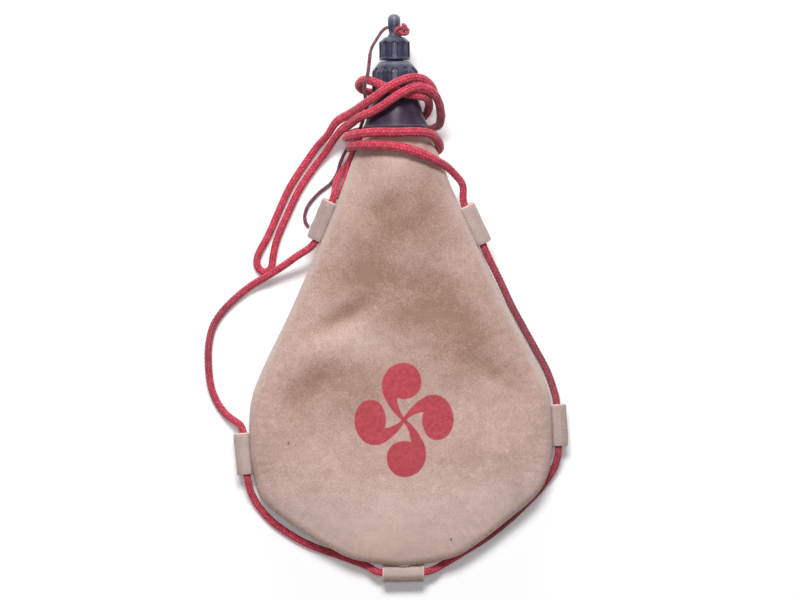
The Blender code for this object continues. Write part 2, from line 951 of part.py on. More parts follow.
def through(loop_name):
    # Three points on the cord's way through a loop's eye, entering as the bag's own frame has it.
    matrix = loop_frames[loop_name]
    far = loop_reach - loop_strip - loop_eye_radius
    reach = far - loop_eye_slack * (1 - loop_cord_share)
    half = loop_width / 2 + cord_radius
    return [matrix @ Vector((reach, 0, z)) for z in (-half, 0, half)]


run_points = in_frame(run_route_to_neck_loop) + through("loop_neck_right")[::-1]
run_points += in_frame(run_route_down_right) + through("loop_side_right")[::-1]
run_points += in_frame(run_route_to_base) + through("loop_base")[::-1]
run_points += in_frame(run_route_up_left) + through("loop_side_left")
run_points += in_frame(run_route_free_left) + through("loop_neck_left")
run_points += in_frame(run_route_to_knot)
cord("strap_run", smooth_curve(run_points, spacing=cord_spacing), cord_radius, red_cord, 2)
cord("strap_bight", smooth_curve(in_frame(bight_route), spacing=bight_spacing), cord_radius, red_cord, 2)
tail_route = (
    (-31.4, 210.4, 12.4),
    (-30.2, 215, 12.2),
    (-27.9, 221, 11.4),
    (-26, 227.6, 10.4),
    (-24, 233.2, 9),
    (-21.2, 238.8, 8.2),
)
cord("strap_tail", smooth_curve(in_frame(tail_route), spacing=tail_spacing), cord_radius, red_cord, 2)
tether_end = knob_radius + tether_end_gap
tether_route = (
    (-6.4, 303.6, 25.2),
    (-8.3, 301, 27.6),
    (-10.4, 297.6, 30.8),
    (-12.2, 294.4, 33.6),
    (-13.2, 291.4, 34.9),
    (-13.7, 288, 35),
    (-14.2, 284, 35),
    (-14.7, 280.4, 35.2),
    (-15.3, 278, 36),
    (-16, 275.6, 37),
    (-16.8, 271.6, 35),
    (-16.4, 267, 31.6),
    (-15.6, 262.6, 28.8),
    (-17.2, 257.4, 26),
    (-18.6, 253, 21.4),
    (-20.4, 248.4, 16.6),
    (-22.4, 244, 12.6),
    (-25.4, 241.2, 9),
    (-28.2, 238, 6),
    (-31, 232.2, 3.2),
    (-32.8, 226.6, 1.5),
    (-36.6, 220.8, 1.2),
    (-43.3, 215.6, 1.2),
    (-49.1, 209, 1.2),
    (-51.2, 203.5, 1.2),
    (-50.8, 199.4, 1.2),
    (-49, 196.8, 1.2),
)
in_knob = [
    Vector((x, knob_hole_y - origin_shift, neck_axis_height)) for x in (tether_end, 0, -tether_end)
]
cord(
    "tether_cord", smooth_curve(in_knob + in_frame(tether_route), spacing=tether_spacing),
    tether_radius, brown_cord, 2,
)


# Knots, each drawn about its own middle
def knot(name, size, middle, base):
    bm = bmesh.new()
    bmesh.ops.create_uvsphere(bm, u_segments=16, v_segments=10, radius=0.5)
    bmesh.ops.transform(bm, verts=bm.verts, matrix=Matrix.Translation(middle) @ Matrix.Diagonal((*size, 1)))
    return mesh_object(name, bm, base)


strap_knot = knot("strap_knot", strap_knot_size, (0, 0, 0), red_cord)
knot_x, knot_y, knot_z = strap_knot_place
strap_knot.location = (knot_x, knot_y - origin_shift, knot_z)
knot_reach = tether_end + seat_gap + tether_knot_size[0] / 2
tether_knot = knot("tether_knot", tether_knot_size, (knot_reach, 0, 0), red_cord)
tether_knot.location = (0, knob_hole_y - origin_shift, neck_axis_height)
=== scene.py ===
# A one-litre leather wine bag on its back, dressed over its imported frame: suede panels with a
# painted four-comma cross, a braided cord through five loops, and a screwed plastic nozzle.
# Shapes are worked out in millimetres. y counts from the outer end of the base loop.
import json
import math

import bmesh
import bpy
import numpy as np
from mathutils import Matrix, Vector
from mathutils.kdtree import KDTree

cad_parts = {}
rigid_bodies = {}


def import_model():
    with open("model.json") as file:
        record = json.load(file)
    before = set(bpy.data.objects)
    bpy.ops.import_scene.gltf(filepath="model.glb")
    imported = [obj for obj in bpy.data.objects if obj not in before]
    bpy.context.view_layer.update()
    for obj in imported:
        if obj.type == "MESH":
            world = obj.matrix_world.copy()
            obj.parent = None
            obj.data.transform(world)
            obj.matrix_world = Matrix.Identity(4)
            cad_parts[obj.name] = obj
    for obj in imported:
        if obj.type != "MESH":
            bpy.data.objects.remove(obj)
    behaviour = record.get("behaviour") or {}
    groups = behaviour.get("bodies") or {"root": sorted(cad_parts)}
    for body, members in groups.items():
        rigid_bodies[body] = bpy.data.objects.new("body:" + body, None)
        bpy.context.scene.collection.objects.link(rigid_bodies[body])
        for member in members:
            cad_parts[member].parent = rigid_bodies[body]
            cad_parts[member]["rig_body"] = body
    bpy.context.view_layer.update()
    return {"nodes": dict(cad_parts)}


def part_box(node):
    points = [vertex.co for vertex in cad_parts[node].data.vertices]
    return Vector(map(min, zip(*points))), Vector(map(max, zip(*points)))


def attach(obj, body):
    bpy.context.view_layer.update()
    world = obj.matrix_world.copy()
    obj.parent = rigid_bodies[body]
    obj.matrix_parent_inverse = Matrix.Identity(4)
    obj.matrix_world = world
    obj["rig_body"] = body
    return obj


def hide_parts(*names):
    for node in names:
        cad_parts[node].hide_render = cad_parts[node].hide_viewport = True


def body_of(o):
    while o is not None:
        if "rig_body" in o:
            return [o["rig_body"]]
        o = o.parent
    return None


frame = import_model()
mm = 0.001
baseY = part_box("loop_base")[0][1] / mm
axisZ = (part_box("collar")[0][2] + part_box("collar")[1][2]) / 2 / mm
scene = bpy.context.scene


# Helpers for materials
def linear(code):
    # An sRGB hex value as a linear colour
    shares = [int(code[at:at + 2], 16) / 255 for at in (1, 3, 5)]
    return (*[((s + 0.055) / 1.055) ** 2.4 if s > 0.04045 else s / 12.92 for s in shares], 1)


def fillNode(tree, node, settings):
    # A number or a capitalised word is a socket, given a value, a hex colour, a socket or a node
    # to link from. "From" and "To" are the two ends of a range, "stops" fills a colour ramp, and
    # any other word is one of the node's settings.
    for key, value in settings.items():
        if key == "stops":
            ramp = node.color_ramp
            while len(ramp.elements) < len(value):
                ramp.elements.new(1)
            for stop, (place, code) in zip(ramp.elements, value):
                stop.position = place
                stop.color = linear(code)
        elif key in ("From", "To"):
            for end, number in zip((" Min", " Max"), value):
                node.inputs[key + end].default_value = number
        elif isinstance(key, str) and key[0].islower():
            setattr(node, key, value)
        elif isinstance(value, bpy.types.Node):
            tree.links.new(value.outputs[0], node.inputs[key])
        elif isinstance(value, bpy.types.NodeSocket):
            tree.links.new(value, node.inputs[key])
        else:
            node.inputs[key].default_value = linear(value) if isinstance(value, str) else value


def addNode(tree, kind, settings=None):
    # A node of the kind; a second word is its operation
    kind, *operation = kind.split()
    node = tree.nodes.new("ShaderNode" + kind)
    if operation:
        node.operation = operation[0]
    fillNode(tree, node, settings or {})
    return node


def newMaterial(name, roughness, specular=0.5):
    made = bpy.data.materials.new(name)
    made.use_nodes = True
    shader = made.node_tree.nodes["Principled BSDF"]
    fillNode(made.node_tree, shader, {"Roughness": roughness, "Specular IOR Level": specular})
    return made, made.node_tree, shader


# Helpers for meshes. Points are in millimetres in the bag's own frame.
def inFrame(points):
    # Millimetres from the base loop to metres in the row frame
    placed = np.array(points, float)
    placed[..., 1] += baseY
    return placed * mm


def gridFaces(rows, columns, closed, capped):
    # Faces of a grid of rows. A closed one joins its last column to its first, and a capped one
    # has a face across its first and last rows too.
    numbers = np.arange(rows * columns).reshape(rows, columns)
    nextColumn = np.roll(numbers, -1, axis=1)
    here, across = (numbers, nextColumn) if closed else (numbers[:, :-1], numbers[:, 1:])
    faces = np.stack([here[:-1], across[:-1], across[1:], here[1:]], axis=-1).reshape(-1, 4).tolist()
    return faces + [numbers[0].tolist(), numbers[-1][::-1].tolist()] * capped


def meshPiece(name, grid, materials, attributes=None, closed=True, capped=False, slots=None,
              merge=0.0, facing=0):
    # A smooth mesh object from rows of points, with a number for each point under each
    # attribute's name. An open surface says which way it faces: 1 up, -1 down.
    mesh = bpy.data.meshes.new(name)
    faces = gridFaces(*grid.shape[:2], closed, capped)
    mesh.from_pydata(inFrame(grid.reshape(-1, 3)).tolist(), [], faces)
    for key, values in (attributes or {}).items():
        layer = mesh.attributes.new(key, "FLOAT", "POINT")
        layer.data.foreach_set("value", np.asarray(values, np.float32).ravel())
    for one in materials:
        mesh.materials.append(one)
    if slots is not None:
        mesh.polygons.foreach_set("material_index", np.asarray(slots, np.int32))
    bm = bmesh.new()
    bm.from_mesh(mesh)
    if merge:
        bmesh.ops.remove_doubles(bm, verts=bm.verts, dist=merge * mm)
    if not facing:
        bmesh.ops.recalc_face_normals(bm, faces=bm.faces)
    elif sum(face.normal.z * face.calc_area() for face in bm.faces) * facing < 0:
        bmesh.ops.reverse_faces(bm, faces=bm.faces)
    bm.to_mesh(mesh)
    bm.free()
    mesh.shade_smooth()
    made = bpy.data.objects.new(name, mesh)
    scene.collection.objects.link(made)
    return made


def smoothCurve(points, spacing=None, count=None):
    # Points evenly spaced on a smooth curve through the ones given
    given = [np.array(point, float) for point in points]
    ends = [2 * given[0] - given[1]] + given + [2 * given[-1] - given[-2]]
    t = np.linspace(0, 1, 16, endpoint=False)[:, None]
    fine = [
        (2 * p1 + (p2 - p0) * t + (2 * p0 - 5 * p1 + 4 * p2 - p3) * t**2
         + (3 * p1 - p0 - 3 * p2 + p3) * t**3) / 2
        for p0, p1, p2, p3 in zip(ends, ends[1:], ends[2:], ends[3:])
    ]
    return spaced(np.vstack(fine + [given[-1][None]]), spacing, count)


def spaced(line, spacing=None, count=None):
    # The same line with its points evenly spaced
    along = lengthsAlong(line)
    if count is None:
        count = max(2, round(along[-1] / spacing) + 1)
    places = np.linspace(0, along[-1], count)
    return np.column_stack([np.interp(places, along, column) for column in line.T])


def lengthsAlong(line):
    return np.concatenate([[0], np.cumsum(np.linalg.norm(np.diff(line, axis=0), axis=1))])


def smoothStep(share):
    share = np.clip(share, 0, 1)
    return share * share * (3 - 2 * share)


def bumpsAt(x, y, bumps):
    # The sum of soft round bumps, each slanted by its angle
    total = np.zeros_like(x)
    for across, along, wide, long, slant, height in bumps:
        c, s = math.cos(math.radians(slant)), math.sin(math.radians(slant))
        dx, dy = x - across, y - along
        total += height * np.exp(-((dx * c + dy * s) / wide) ** 2 - ((dy * c - dx * s) / long) ** 2)
    return total


def dress(piece, body, *nodes):
    # The piece moves with the body and stands in for the frame's nodes
    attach(piece, body)
    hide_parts(*nodes)


# Camera, straight above as in the photograph, with the bag's top leaning a little to the left.
# The pitch is what one of the picture's pixels covers.
view = {
    "height": 2700, "pitch": 0.5503, "pixels": 800, "aim": (0.7, -0.65, 18), "lean": -0.96,
}
camera = bpy.data.objects.new("camera", bpy.data.cameras.new("camera"))
camera.data.lens = camera.data.sensor_width * view["height"] / (view["pitch"] * view["pixels"])
aimX, aimY, aimZ = view["aim"]
camera.location = (aimX * mm, aimY * mm, (aimZ + view["height"]) * mm)
camera.rotation_euler = (0, 0, math.radians(view["lean"]))
scene.collection.objects.link(camera)
scene.camera = camera

# Cords. Routes follow the frame's own: across, along and up in millimetres.
carryingCord = {"diameter": 4.0, "strands": 8, "lay": 17, "relief": 0.3, "around": 40, "ring": 0.45}
tetherCord = {"diameter": 2.0, "strands": 4, "lay": 7.5, "relief": 0.14, "around": 20, "ring": 0.4}
turnPoints = 24
# Where the carrying cord has faded, and at its outer turns by the neck painted shade as well:
# across, along, half sizes, slant and strength
fadedAndShadedStretches = (
    (70, 130, 40, 75, 0, 1.2), (-100, 140, 24, 36, 0, 0.8), (60, 30, 30, 30, 0, 0.6),
    (26, 254, 7, 13, 0, 1.1),
)


def redBraid(name, creviceShade, body, highlightFleck, fadedAndShaded):
    # Braided polyester: spun yarns laid over one another, dull, with painted shade in the crevices
    # and painted highlight flecks where a yarn crowns, and faded where it has rubbed on the ground
    made, tree, shader = newMaterial(name, 0.72, 0.3)
    relief, tone, rubbed = (
        addNode(tree, "Attribute", {"attribute_name": key}).outputs["Fac"]
        for key in ("relief", "tone", "rubbed")
    )
    place = addNode(tree, "TexCoord").outputs["Object"]
    # Worn and dirtied stretches about 18 mm long, fibres drawn at 0.3 mm so that they show
    wear, fibre = (
        addNode(tree, "TexNoise", {"Vector": place, "Scale": 1 / (size * mm), "Detail": 2})
        for size in (18, 0.3)
    )
    crown = addNode(tree, "MixRGB", {"Fac": rubbed, "Color1": body, "Color2": fadedAndShaded})
    raised = addNode(tree, "MapRange", {"Value": relief, "From": (0.05, 0.6)})
    # Painted shade: darker in the crevices where the relief is low
    lit = addNode(tree, "MixRGB", {"Fac": raised, "Color1": creviceShade, "Color2": crown})
    gloss = addNode(tree, "MapRange", {"Value": rubbed, "To": (1, 0.35)})
    crowned = addNode(tree, "Math MULTIPLY", {0: tone, 1: relief})
    highlightFlecked = addNode(tree, "Math MULTIPLY", {0: crowned, 1: gloss})
    # Painted highlight flecks on the yarns' crowns, fewer where the cord has faded
    light = addNode(tree, "MixRGB", {"Fac": highlightFlecked, "Color1": lit, "Color2": highlightFleck})
    shade, fine = (
        addNode(tree, "MapRange", {"Value": noise, "From": (0.3, 0.7), "To": (darkest, 1.08)})
        for noise, darkest in ((wear, 0.78), (fibre, 0.88))
    )
    both = addNode(tree, "Math MULTIPLY", {0: shade, 1: fine})
    colour = addNode(tree, "VectorMath SCALE", {0: light, "Scale": both})
    bump = addNode(tree, "Bump", {"Height": fibre, "Strength": 0.5, "Distance": 0.12 * mm})
    fillNode(tree, shader, {
        "Base Color": colour, "Normal": bump, "Sheen Weight": 0.25, "Sheen Roughness": 0.5
    })
    return made


def braid(name, line, style, finish, radiusScale=1.0):
    # A round braid along a line: yarns in both directions, each over two and under two
    path = spaced(np.array(line, float), style["ring"])
    radius = style["diameter"] / 2 * (radiusScale(path) if callable(radiusScale) else radiusScale)
    along = lengthsAlong(path)
    heading = np.gradient(path, axis=0)
    heading /= np.linalg.norm(heading, axis=1)[:, None]
    side = np.cross(heading[0], (0.3, 0.2, 1.0))
    sides = []
    for forward in heading:
        side = side - forward * np.dot(side, forward)
        side = side / np.linalg.norm(side)
        sides.append(side)
    sides = np.array(sides)
    ups = np.cross(heading, sides)
    angles = np.arange(style["around"]) / style["around"]
    turns = angles[None] * style["strands"]
    travel = along[:, None] / style["lay"] * style["strands"]
    one, other = turns - travel + 400, turns + travel  # both stay above nought
    cell = (np.floor(one) + np.floor(other)) % 4
    stretch = along[:, None] // 3

    def yarn(own, crossing, shift, hue, drift):
        # A yarn's height where it passes over the crossing one, and its own tone
        arch = np.sin(np.pi / 2 * ((crossing + np.floor(own)) % 4 - shift)) ** 2
        over = np.sin(np.pi * (own % 1)) ** 0.7 * arch
        return over ** 0.5, np.sin(np.floor(own) * hue + stretch * drift) * 0.5 + 0.5

    height, tone = np.where(cell < 2, yarn(one, other, 0, 12.9, 4.1), yarn(other, one, 2, 7.7, 2.3))
    ends = np.minimum(along, along[-1] - along) / radius
    rounding = np.sqrt(np.clip(1 - (1 - np.clip(ends, 0, 1)) ** 2, 0.04, 1))
    reach = (np.reshape(radius, (-1, 1)) + (height - 0.6) * style["relief"]) * rounding[:, None]
    spin = (angles * 2 * np.pi)[:, None]
    rings = sides[:, None] * np.cos(spin) + ups[:, None] * np.sin(spin)
    fadedAndShaded = np.clip(bumpsAt(path[:, 0], path[:, 1], fadedAndShadedStretches), 0, 1)
    shades = {"relief": height, "tone": tone, "rubbed": np.repeat(fadedAndShaded, style["around"])}
    piece = meshPiece(name, path[:, None] + reach[..., None] * rings, [finish], shades, capped=True)
    return piece, inFrame(path)


def lashing(keys):
    # Turns round the nozzle's axis, from keys of angle in degrees, radius and place
    turns = sum(abs(after[0] - before[0]) for before, after in zip(keys, keys[1:])) / 360
    angle, radius, place = smoothCurve(keys, count=round(turns * turnPoints) + 1).T
    angle = np.radians(angle)
    return np.column_stack([radius * np.cos(angle), place, axisZ + radius * np.sin(angle)])


upperLashingKeys = (
    (-143, 21.5, 247.6), (-143, 20.3, 251.5), (-132, 20.3, 255.6), (-90, 20.3, 257.5), (-45, 20.3, 255.6),
    (-20, 19.3, 260), (5, 18.4, 264.6), (40, 18.2, 267), (65, 16.2, 268), (90, 15.5, 270),
    (115, 15.6, 272.8), (140, 16.2, 275.6), (165, 18, 276.8), (188, 20.4, 274), (210, 19.6, 271),
    (240, 17.6, 270.4), (270, 17.2, 270.4), (320, 19, 269.4), (350, 21.2, 269.4), (375, 20.6, 272.4),
    (398, 20.3, 276), (420, 20.3, 277.2), (440, 20.3, 275.4), (460, 20.3, 272), (480, 20.3, 267.4),
    (500, 20.3, 264), (518, 21.2, 261.4), (530, 22.4, 259.8), (538, 24.3, 258.3),
)
lowerLashingKeys = (
    (184, 24.2, 253.1), (175, 22.4, 254.6), (160, 21.2, 256.2), (140, 20.4, 257.6), (115, 20.3, 260.7),
    (90, 20.6, 266.6), (65, 20.7, 271.4), (45, 21.2, 272), (25, 22.8, 269), (8, 24, 264),
    (-8, 25.2, 257.6), (-20, 26.4, 252.8), (-35, 26, 250), (-60, 22.6, 249.6), (-90, 21.2, 249.8),
    (-120, 23.8, 249.8), (-145, 26.4, 249.2), (-165, 27, 247), (-180, 27.4, 245.3), (-200, 26.8, 245.9),
    (-220, 23.8, 247), (-245, 21, 247.4), (-270, 20.4, 247), (-300, 20.8, 247.3), (-328, 22, 246.3),
    (-348, 22.8, 243.4), (-366, 24, 239.8), (-386, 25, 237), (-412, 22.6, 236), (-450, 20, 236),
    (-482, 21, 236.8), (-500, 21.9, 237.4), (-518, 23.8, 238.6), (-540, 25.6, 240), (-560, 25.2, 240.7),
    (-582, 23.4, 240.5), (-606, 21.4, 240.3), (-630, 20.9, 239.4), (-655, 21.4, 237.2), (-678, 23.2, 234),
)
bightRoute = (
    (-24.7, 258, 24.2), (-28.2, 256.9, 20.8), (-33.2, 253.9, 15.4), (-38, 247, 9), (-43.5, 241.6, 3.8),
    (-50.2, 232.6, 2.2), (-59, 219.5, 2.2), (-65.4, 206.3, 2.2), (-71.4, 193, 2.2), (-76.9, 183.2, 2.2),
    (-78.4, 177.6, 2.2), (-76.9, 173.8, 2.2), (-73.2, 172, 2.2), (-70, 174.8, 2.2), (-69.4, 179.5, 2.2),
    (-66.8, 190.5, 2.2), (-60.6, 204.4, 2.2), (-54.2, 217.4, 2.2), (-45.4, 230.2, 2.2),
    (-38.8, 238.2, 4.4), (-34.2, 245, 10), (-29, 250.6, 17), (-24.4, 252.9, 21.8),
)
runToNeckLoop = (
    (17.5, 233.8, 39.1), (22.6, 231, 34.4), (27.4, 228.4, 30), (32, 224, 26), (36.4, 218, 23.2),
)
runDownRight = (
    (48.8, 180.5, 17.6), (56, 165.4, 13.4), (62, 152, 10), (68.4, 139.7, 8), (75, 127.4, 7),
    (81.6, 114.4, 7), (85.8, 101, 8),
)
runToBase = (
    (86.4, 68, 7.6), (83.9, 60.5, 4.6), (76.6, 50, 2.5), (68.4, 41.6, 2.2), (58.6, 32.6, 2.2),
    (46.4, 23.4, 2.2), (34.2, 16, 2.2), (23, 9.6, 4.2),
)
runUpLeft = (
    (-19, 8.6, 6.6), (-26.8, 11.6, 4.4), (-35.6, 14.9, 2.8), (-44.4, 18, 2.2), (-53.4, 21.8, 2.2),
    (-61.8, 26.6, 2.2), (-71.6, 33.8, 2.2), (-78.6, 41.6, 2.6), (-83.3, 50.2, 5.2),
)
runFreeLeft = (
    (-90.4, 89.4, 6.8), (-96.4, 93.8, 3), (-102, 101.8, 2.2), (-105.1, 111.7, 2.2), (-106, 124.9, 2.2),
    (-105.3, 134.2, 2.2), (-102.9, 143, 2.2), (-97.8, 150.7, 2.2), (-90, 158.4, 2.6), (-81.1, 165.2, 4),
    (-72.2, 170.2, 7), (-63.8, 175.2, 10.4), (-56.2, 180.4, 14.6),
)
runToKnot = (
    (-34.2, 214.6, 20.6), (-33.8, 218.2, 16.2), (-32.6, 222.6, 9.2), (-30.2, 227, 4.4), (-27, 231, 2.6),
    (-24.4, 235.8, 2.4), (-21.2, 240.4, 3.5),
)
tailRoute = (
    (-31.4, 210.4, 12.4), (-30.2, 215, 12.2), (-27.9, 221, 11.4), (-26, 227.6, 10.4), (-24, 233.2, 9),
    (-21.2, 238.8, 8.2),
)
tetherInKnob = ((3.9, 305.3, 24), (0, 305.3, 24), (-3.9, 305.3, 24))
tetherRoute = (
    (-6.4, 303.6, 25.2), (-8.3, 301, 27.6), (-10.4, 297.6, 30.8), (-12.2, 294.4, 33.6),
    (-13.2, 291.4, 34.9), (-13.7, 288, 35), (-14.2, 284, 35), (-14.7, 280.4, 35.2), (-15.3, 278, 36),
    (-16, 275.6, 37), (-16.8, 271.6, 35), (-16.4, 267, 31.6), (-15.6, 262.6, 28.8), (-17.2, 257.4, 26),
    (-18.6, 253, 21.4), (-20.4, 248.4, 16.6), (-22.4, 244, 12.6), (-25.4, 241.2, 9), (-28.2, 238, 6),
    (-31, 232.2, 3.2), (-32.8, 226.6, 1.5), (-36.6, 220.8, 1.2), (-43.3, 215.6, 1.2), (-49.1, 209, 1.2),
    (-51.2, 203.5, 1.2), (-50.8, 199.4, 1.2), (-49, 196.8, 1.2),
)

# The bag's form: the seam's half outline from the base to the neck, and its section at each place
bag = {
    "seamLength": 244.6, "halfWidth": 83.3, "rise": 27, "seamHeight": 9, "flattening": 1.5,
    "neckRadius": 15.4, "neckStraight": 4.5, "leather": 1.8, "rimGap": 0.3,
    "welt": 3.0, "neckWelt": 0.8, "weltDepth": 5.0, "neckWeltDepth": 1.4, "weltTaper": 10,
    "lip": 2.2, "neckLip": 0.2, "bellyShare": 0.3, "shoulderShare": 0.36,
    "lean": -2.0, "leanShare": 0.12, "leanReach": 0.1,
}
outlineShares = (
    (0, 0), (0.018, 0.31), (0.044, 0.47), (0.092, 0.68), (0.155, 0.9), (0.215, 0.978), (0.28, 1),
    (0.375, 0.985), (0.45, 0.905), (0.575, 0.72), (0.72, 0.525), (0.84, 0.37), (0.93, 0.268),
)
loop = {
    "width": 23, "strip": 1.4, "reach": 8.6, "foot": 2.2, "eye": 2.7, "slack": 1.4, "cordShare": 0.03,
    "legTurns": (125, 90), "foldTurns": (80, -80), "play": 0.05, "edge": 0.45, "acrossPoints": 14,
    "wrinkle": 0.12, "wrinklePitch": 9, "foldShadeReach": 1.6, "foldShadeStart": 0.5,
}
# Each loop's place along the seam and side, its tone and how much painted shade darkens its fold
loopPlaces = {
    "loop_neck_right": (186.5, 1, -0.55, 0.3), "loop_side_right": (76.5, 1, -0.2, 0.3),
    "loop_base": (0, 0, -0.75, 1.2), "loop_side_left": (64, -1, -0.45, 0.3),
    "loop_neck_left": (190, -1, -0.15, 0.3),
}


def seamOutline(spacing):
    # Half width and place along the seam, evenly spaced
    points = [(across * bag["halfWidth"], along * bag["seamLength"]) for along, across in outlineShares]
    points.append((bag["neckRadius"], bag["seamLength"] - bag["neckStraight"]))
    points.append((bag["neckRadius"], bag["seamLength"]))
    return smoothCurve(points, spacing)


seam = seamOutline(0.4)


def sectionAt(along):
    # Seam height, rise in front, depth behind, welt thickness and depth at places on the seam
    neckStart = bag["seamLength"] * bag["shoulderShare"]
    neck = smoothStep((along - neckStart) / (bag["seamLength"] - bag["neckStraight"] - neckStart))
    base = np.minimum(along / (bag["seamLength"] * bag["bellyShare"]), 1)
    roundness = np.sqrt(1 - (1 - base) ** 2)
    bellyDepth = bag["seamHeight"] + bag["flattening"]
    height = bag["seamHeight"] + (axisZ - bag["seamHeight"]) * neck
    rise = (bag["rise"] + (bag["neckRadius"] - bag["rise"]) * neck) * roundness
    depth = (bellyDepth + (bag["neckRadius"] - bellyDepth) * neck) * roundness
    strip = bag["welt"] + (bag["neckWelt"] - bag["welt"]) * neck ** bag["weltTaper"]
    inset = bag["weltDepth"] + (bag["neckWeltDepth"] - bag["weltDepth"]) * neck ** bag["weltTaper"]
    return height, rise, depth, strip, inset


def leanAt(along):
    away = (along / bag["seamLength"] - bag["leanShare"]) / bag["leanReach"]
    return bag["lean"] * np.maximum(1 - away * away, 0) ** 2


def seamPlace(along, side):
    # The point on the seam line at one side of the bag
    half = np.interp(along, seam[:, 1], seam[:, 0])
    return np.array([side * half, loop["reach"] + along, sectionAt(along)[0]])


def loopFrame(name):
    # Origin on the seam, and directions out of the bag, up through the strap and along the seam
    place, side, _, _ = loopPlaces[name]
    if not side:
        origin = np.array([0, loop["reach"], bag["seamHeight"]])
        return origin, np.array([[0, -1, 0], [0, 0, -1], [1, 0, 0]], float)
    ends = [seamPlace(place + step, side) for step in (-loop["width"] / 2, loop["width"] / 2)]
    along = (ends[1] - ends[0]) / np.linalg.norm(ends[1] - ends[0])
    out = np.array([side * along[1], -side * along[0], 0])
    out /= np.linalg.norm(out)
    return seamPlace(place, side), np.array([out, np.cross(along, out), along])


def through(name):
    # Three points on the cord's way through a loop's eye
    origin, axes = loopFrame(name)
    far = loop["reach"] - loop["strip"] - loop["eye"]
    reach = far - loop["slack"] * (1 - loop["cordShare"])
    half = loop["width"] / 2 + carryingCord["diameter"] / 2
    return [origin + axes[0] * reach + axes[2] * z for z in (-half, 0, half)]


def eased(line, reach):
    # The same line with small kinks smoothed out over the reach given; its ends stay
    line = spaced(line, 1.0)
    ends = np.linspace(0, 1, 2 * reach + 1)
    weights = np.exp(-((ends - 0.5) * 4) ** 2)
    weights /= weights.sum()
    padded = np.vstack([[2 * line[0] - p for p in line[reach:0:-1]], line,
                        [2 * line[-1] - p for p in line[-2:-reach - 2:-1]]])
    return np.column_stack([np.convolve(column, weights, "valid") for column in padded.T])


runPoints = list(runToNeckLoop) + through("loop_neck_right")[::-1]
runPoints += list(runDownRight) + through("loop_side_right")[::-1]
runPoints += list(runToBase) + through("loop_base")[::-1]
runPoints += list(runUpLeft) + through("loop_side_left")
runPoints += list(runFreeLeft) + through("loop_neck_left")
runPoints += list(runToKnot)
cordLine = np.vstack([
    lashing(upperLashingKeys)[:-1],
    smoothCurve(bightRoute, 3.0)[1:-1],
    lashing(lowerLashingKeys)[1:-1],
    smoothCurve(runPoints, 3.0),
])


def spread(path):
    # A soft braid spreads where it is drawn round the neck
    flat = 0.28 - 0.12 * smoothStep((path[:, 1] - 250) / 12)
    return 1 + flat * smoothStep((path[:, 2] - 8) / 14) * smoothStep((path[:, 1] - 224) / 12)


strapFinish = redBraid("braidedRedPolyester", "#781A2C", "#DC3E56", "#EA6078", "#98505A")
# The tether and its knot are one cord: the tether's dark tones are partly painted shade, and the knot's
# brighter copy is painted as lit
tetherFinish = redBraid("braidedDarkRedPolyester", "#3A1C26", "#7E4A58", "#A86C7C", "#7C4654")
tetherEndFinish = redBraid("tetherRedPolyesterPaintedLit", "#6A1C2A", "#C2485A", "#E07E8C", "#B4444F")
carrying, carryingPath = braid("carrying_cord", eased(cordLine, 3), carryingCord, strapFinish, spread)
tail, tailPath = braid("cord_tail", smoothCurve(tailRoute, 1.0), carryingCord, strapFinish)
tetherLine = smoothCurve(tetherInKnob + tetherRoute, 0.4)
slideTop, slideFoot = 291.4, 279
upperLine = tetherLine[tetherLine[:, 1] > slideFoot]
lowerLine = tetherLine[tetherLine[:, 1] < slideTop]
tetherUpper, upperPath = braid("tether_at_knob", upperLine, tetherCord, tetherFinish, 0.88)
tetherLower, lowerPath = braid("tether_at_neck", lowerLine, tetherCord, tetherFinish)
print("cords:", round(lengthsAlong(cordLine)[-1]), "mm of carrying cord")

strapEnd = {"place": (-17.6, 242.8, 6.4), "size": (9.4, 8.0, 7.0), "turned": [0, 1, 2]}
tetherEnd = {"place": (4.2, 303.7, axisZ + 3.2), "size": (9.2, 8.0, 6.4), "turned": [1, 0, 2]}


def knot(name, end, style, finish):
    # A cord drawn up in an overhand knot, as a tube along a trefoil that fills the size given
    t = np.linspace(0, 2 * np.pi, 90)[:-2]
    shape = np.column_stack([
        (2 + np.cos(3 * t)) * np.cos(2 * t) / 3, (2 + np.cos(3 * t)) * np.sin(2 * t) / 3, np.sin(3 * t)
    ])
    half = np.array(end["size"]) / 2 - style["diameter"] / 2
    return braid(name, shape[:, end["turned"]] * half + end["place"], style, finish)[0]


strapKnot = knot("strap_end_knot", strapEnd, carryingCord, strapFinish)
tetherKnot = knot("tether_end_knot", tetherEnd, tetherCord, tetherEndFinish)
dress(carrying, "bag", "strap_lashing_upper", "strap_bight", "strap_lashing_lower", "strap_run")
dress(tail, "bag", "strap_tail")
dress(strapKnot, "bag", "strap_knot")
dress(tetherUpper, "stopper", "tether_cord")
dress(tetherLower, "bag", "tether_cord")
dress(tetherKnot, "stopper", "tether_knot")
for piece, path, exitPoint, style, farEnd in (
    (carrying, carryingPath, strapEnd["place"], carryingCord, "object"),
    (tail, tailPath[::-1], strapEnd["place"], carryingCord, "bare"),
    (tetherUpper, upperPath, tetherEnd["place"], tetherCord, "object"),
    (tetherLower, lowerPath, lowerLine[0], tetherCord, "bare"),
):
    inFrame(exitPoint)

# Leather panels
leather = {
    "cell": 1.3, "printCell": 0.6, "printReach": 33, "middleTurn": 0.42, "crown": 1.2,
    "stiffRim": 7, "paintedLightAtRim": 1.0, "paintedLightBelow": 70, "paintedLightOver": 50, "tipReach": 9, "tipSquash": 3,
    "puckerPitch": 5.5, "puckerDepth": 0.22, "puckerReach": 9,
    "pleats": 11, "pleatDepth": 0.35, "pleatReach": 30, "pleatStart": 2, "pleatBlend": 4,
    "sway": 0.5, "swayPitch": 42, "grainDepth": 0.06, "grainPitch": 9,
}
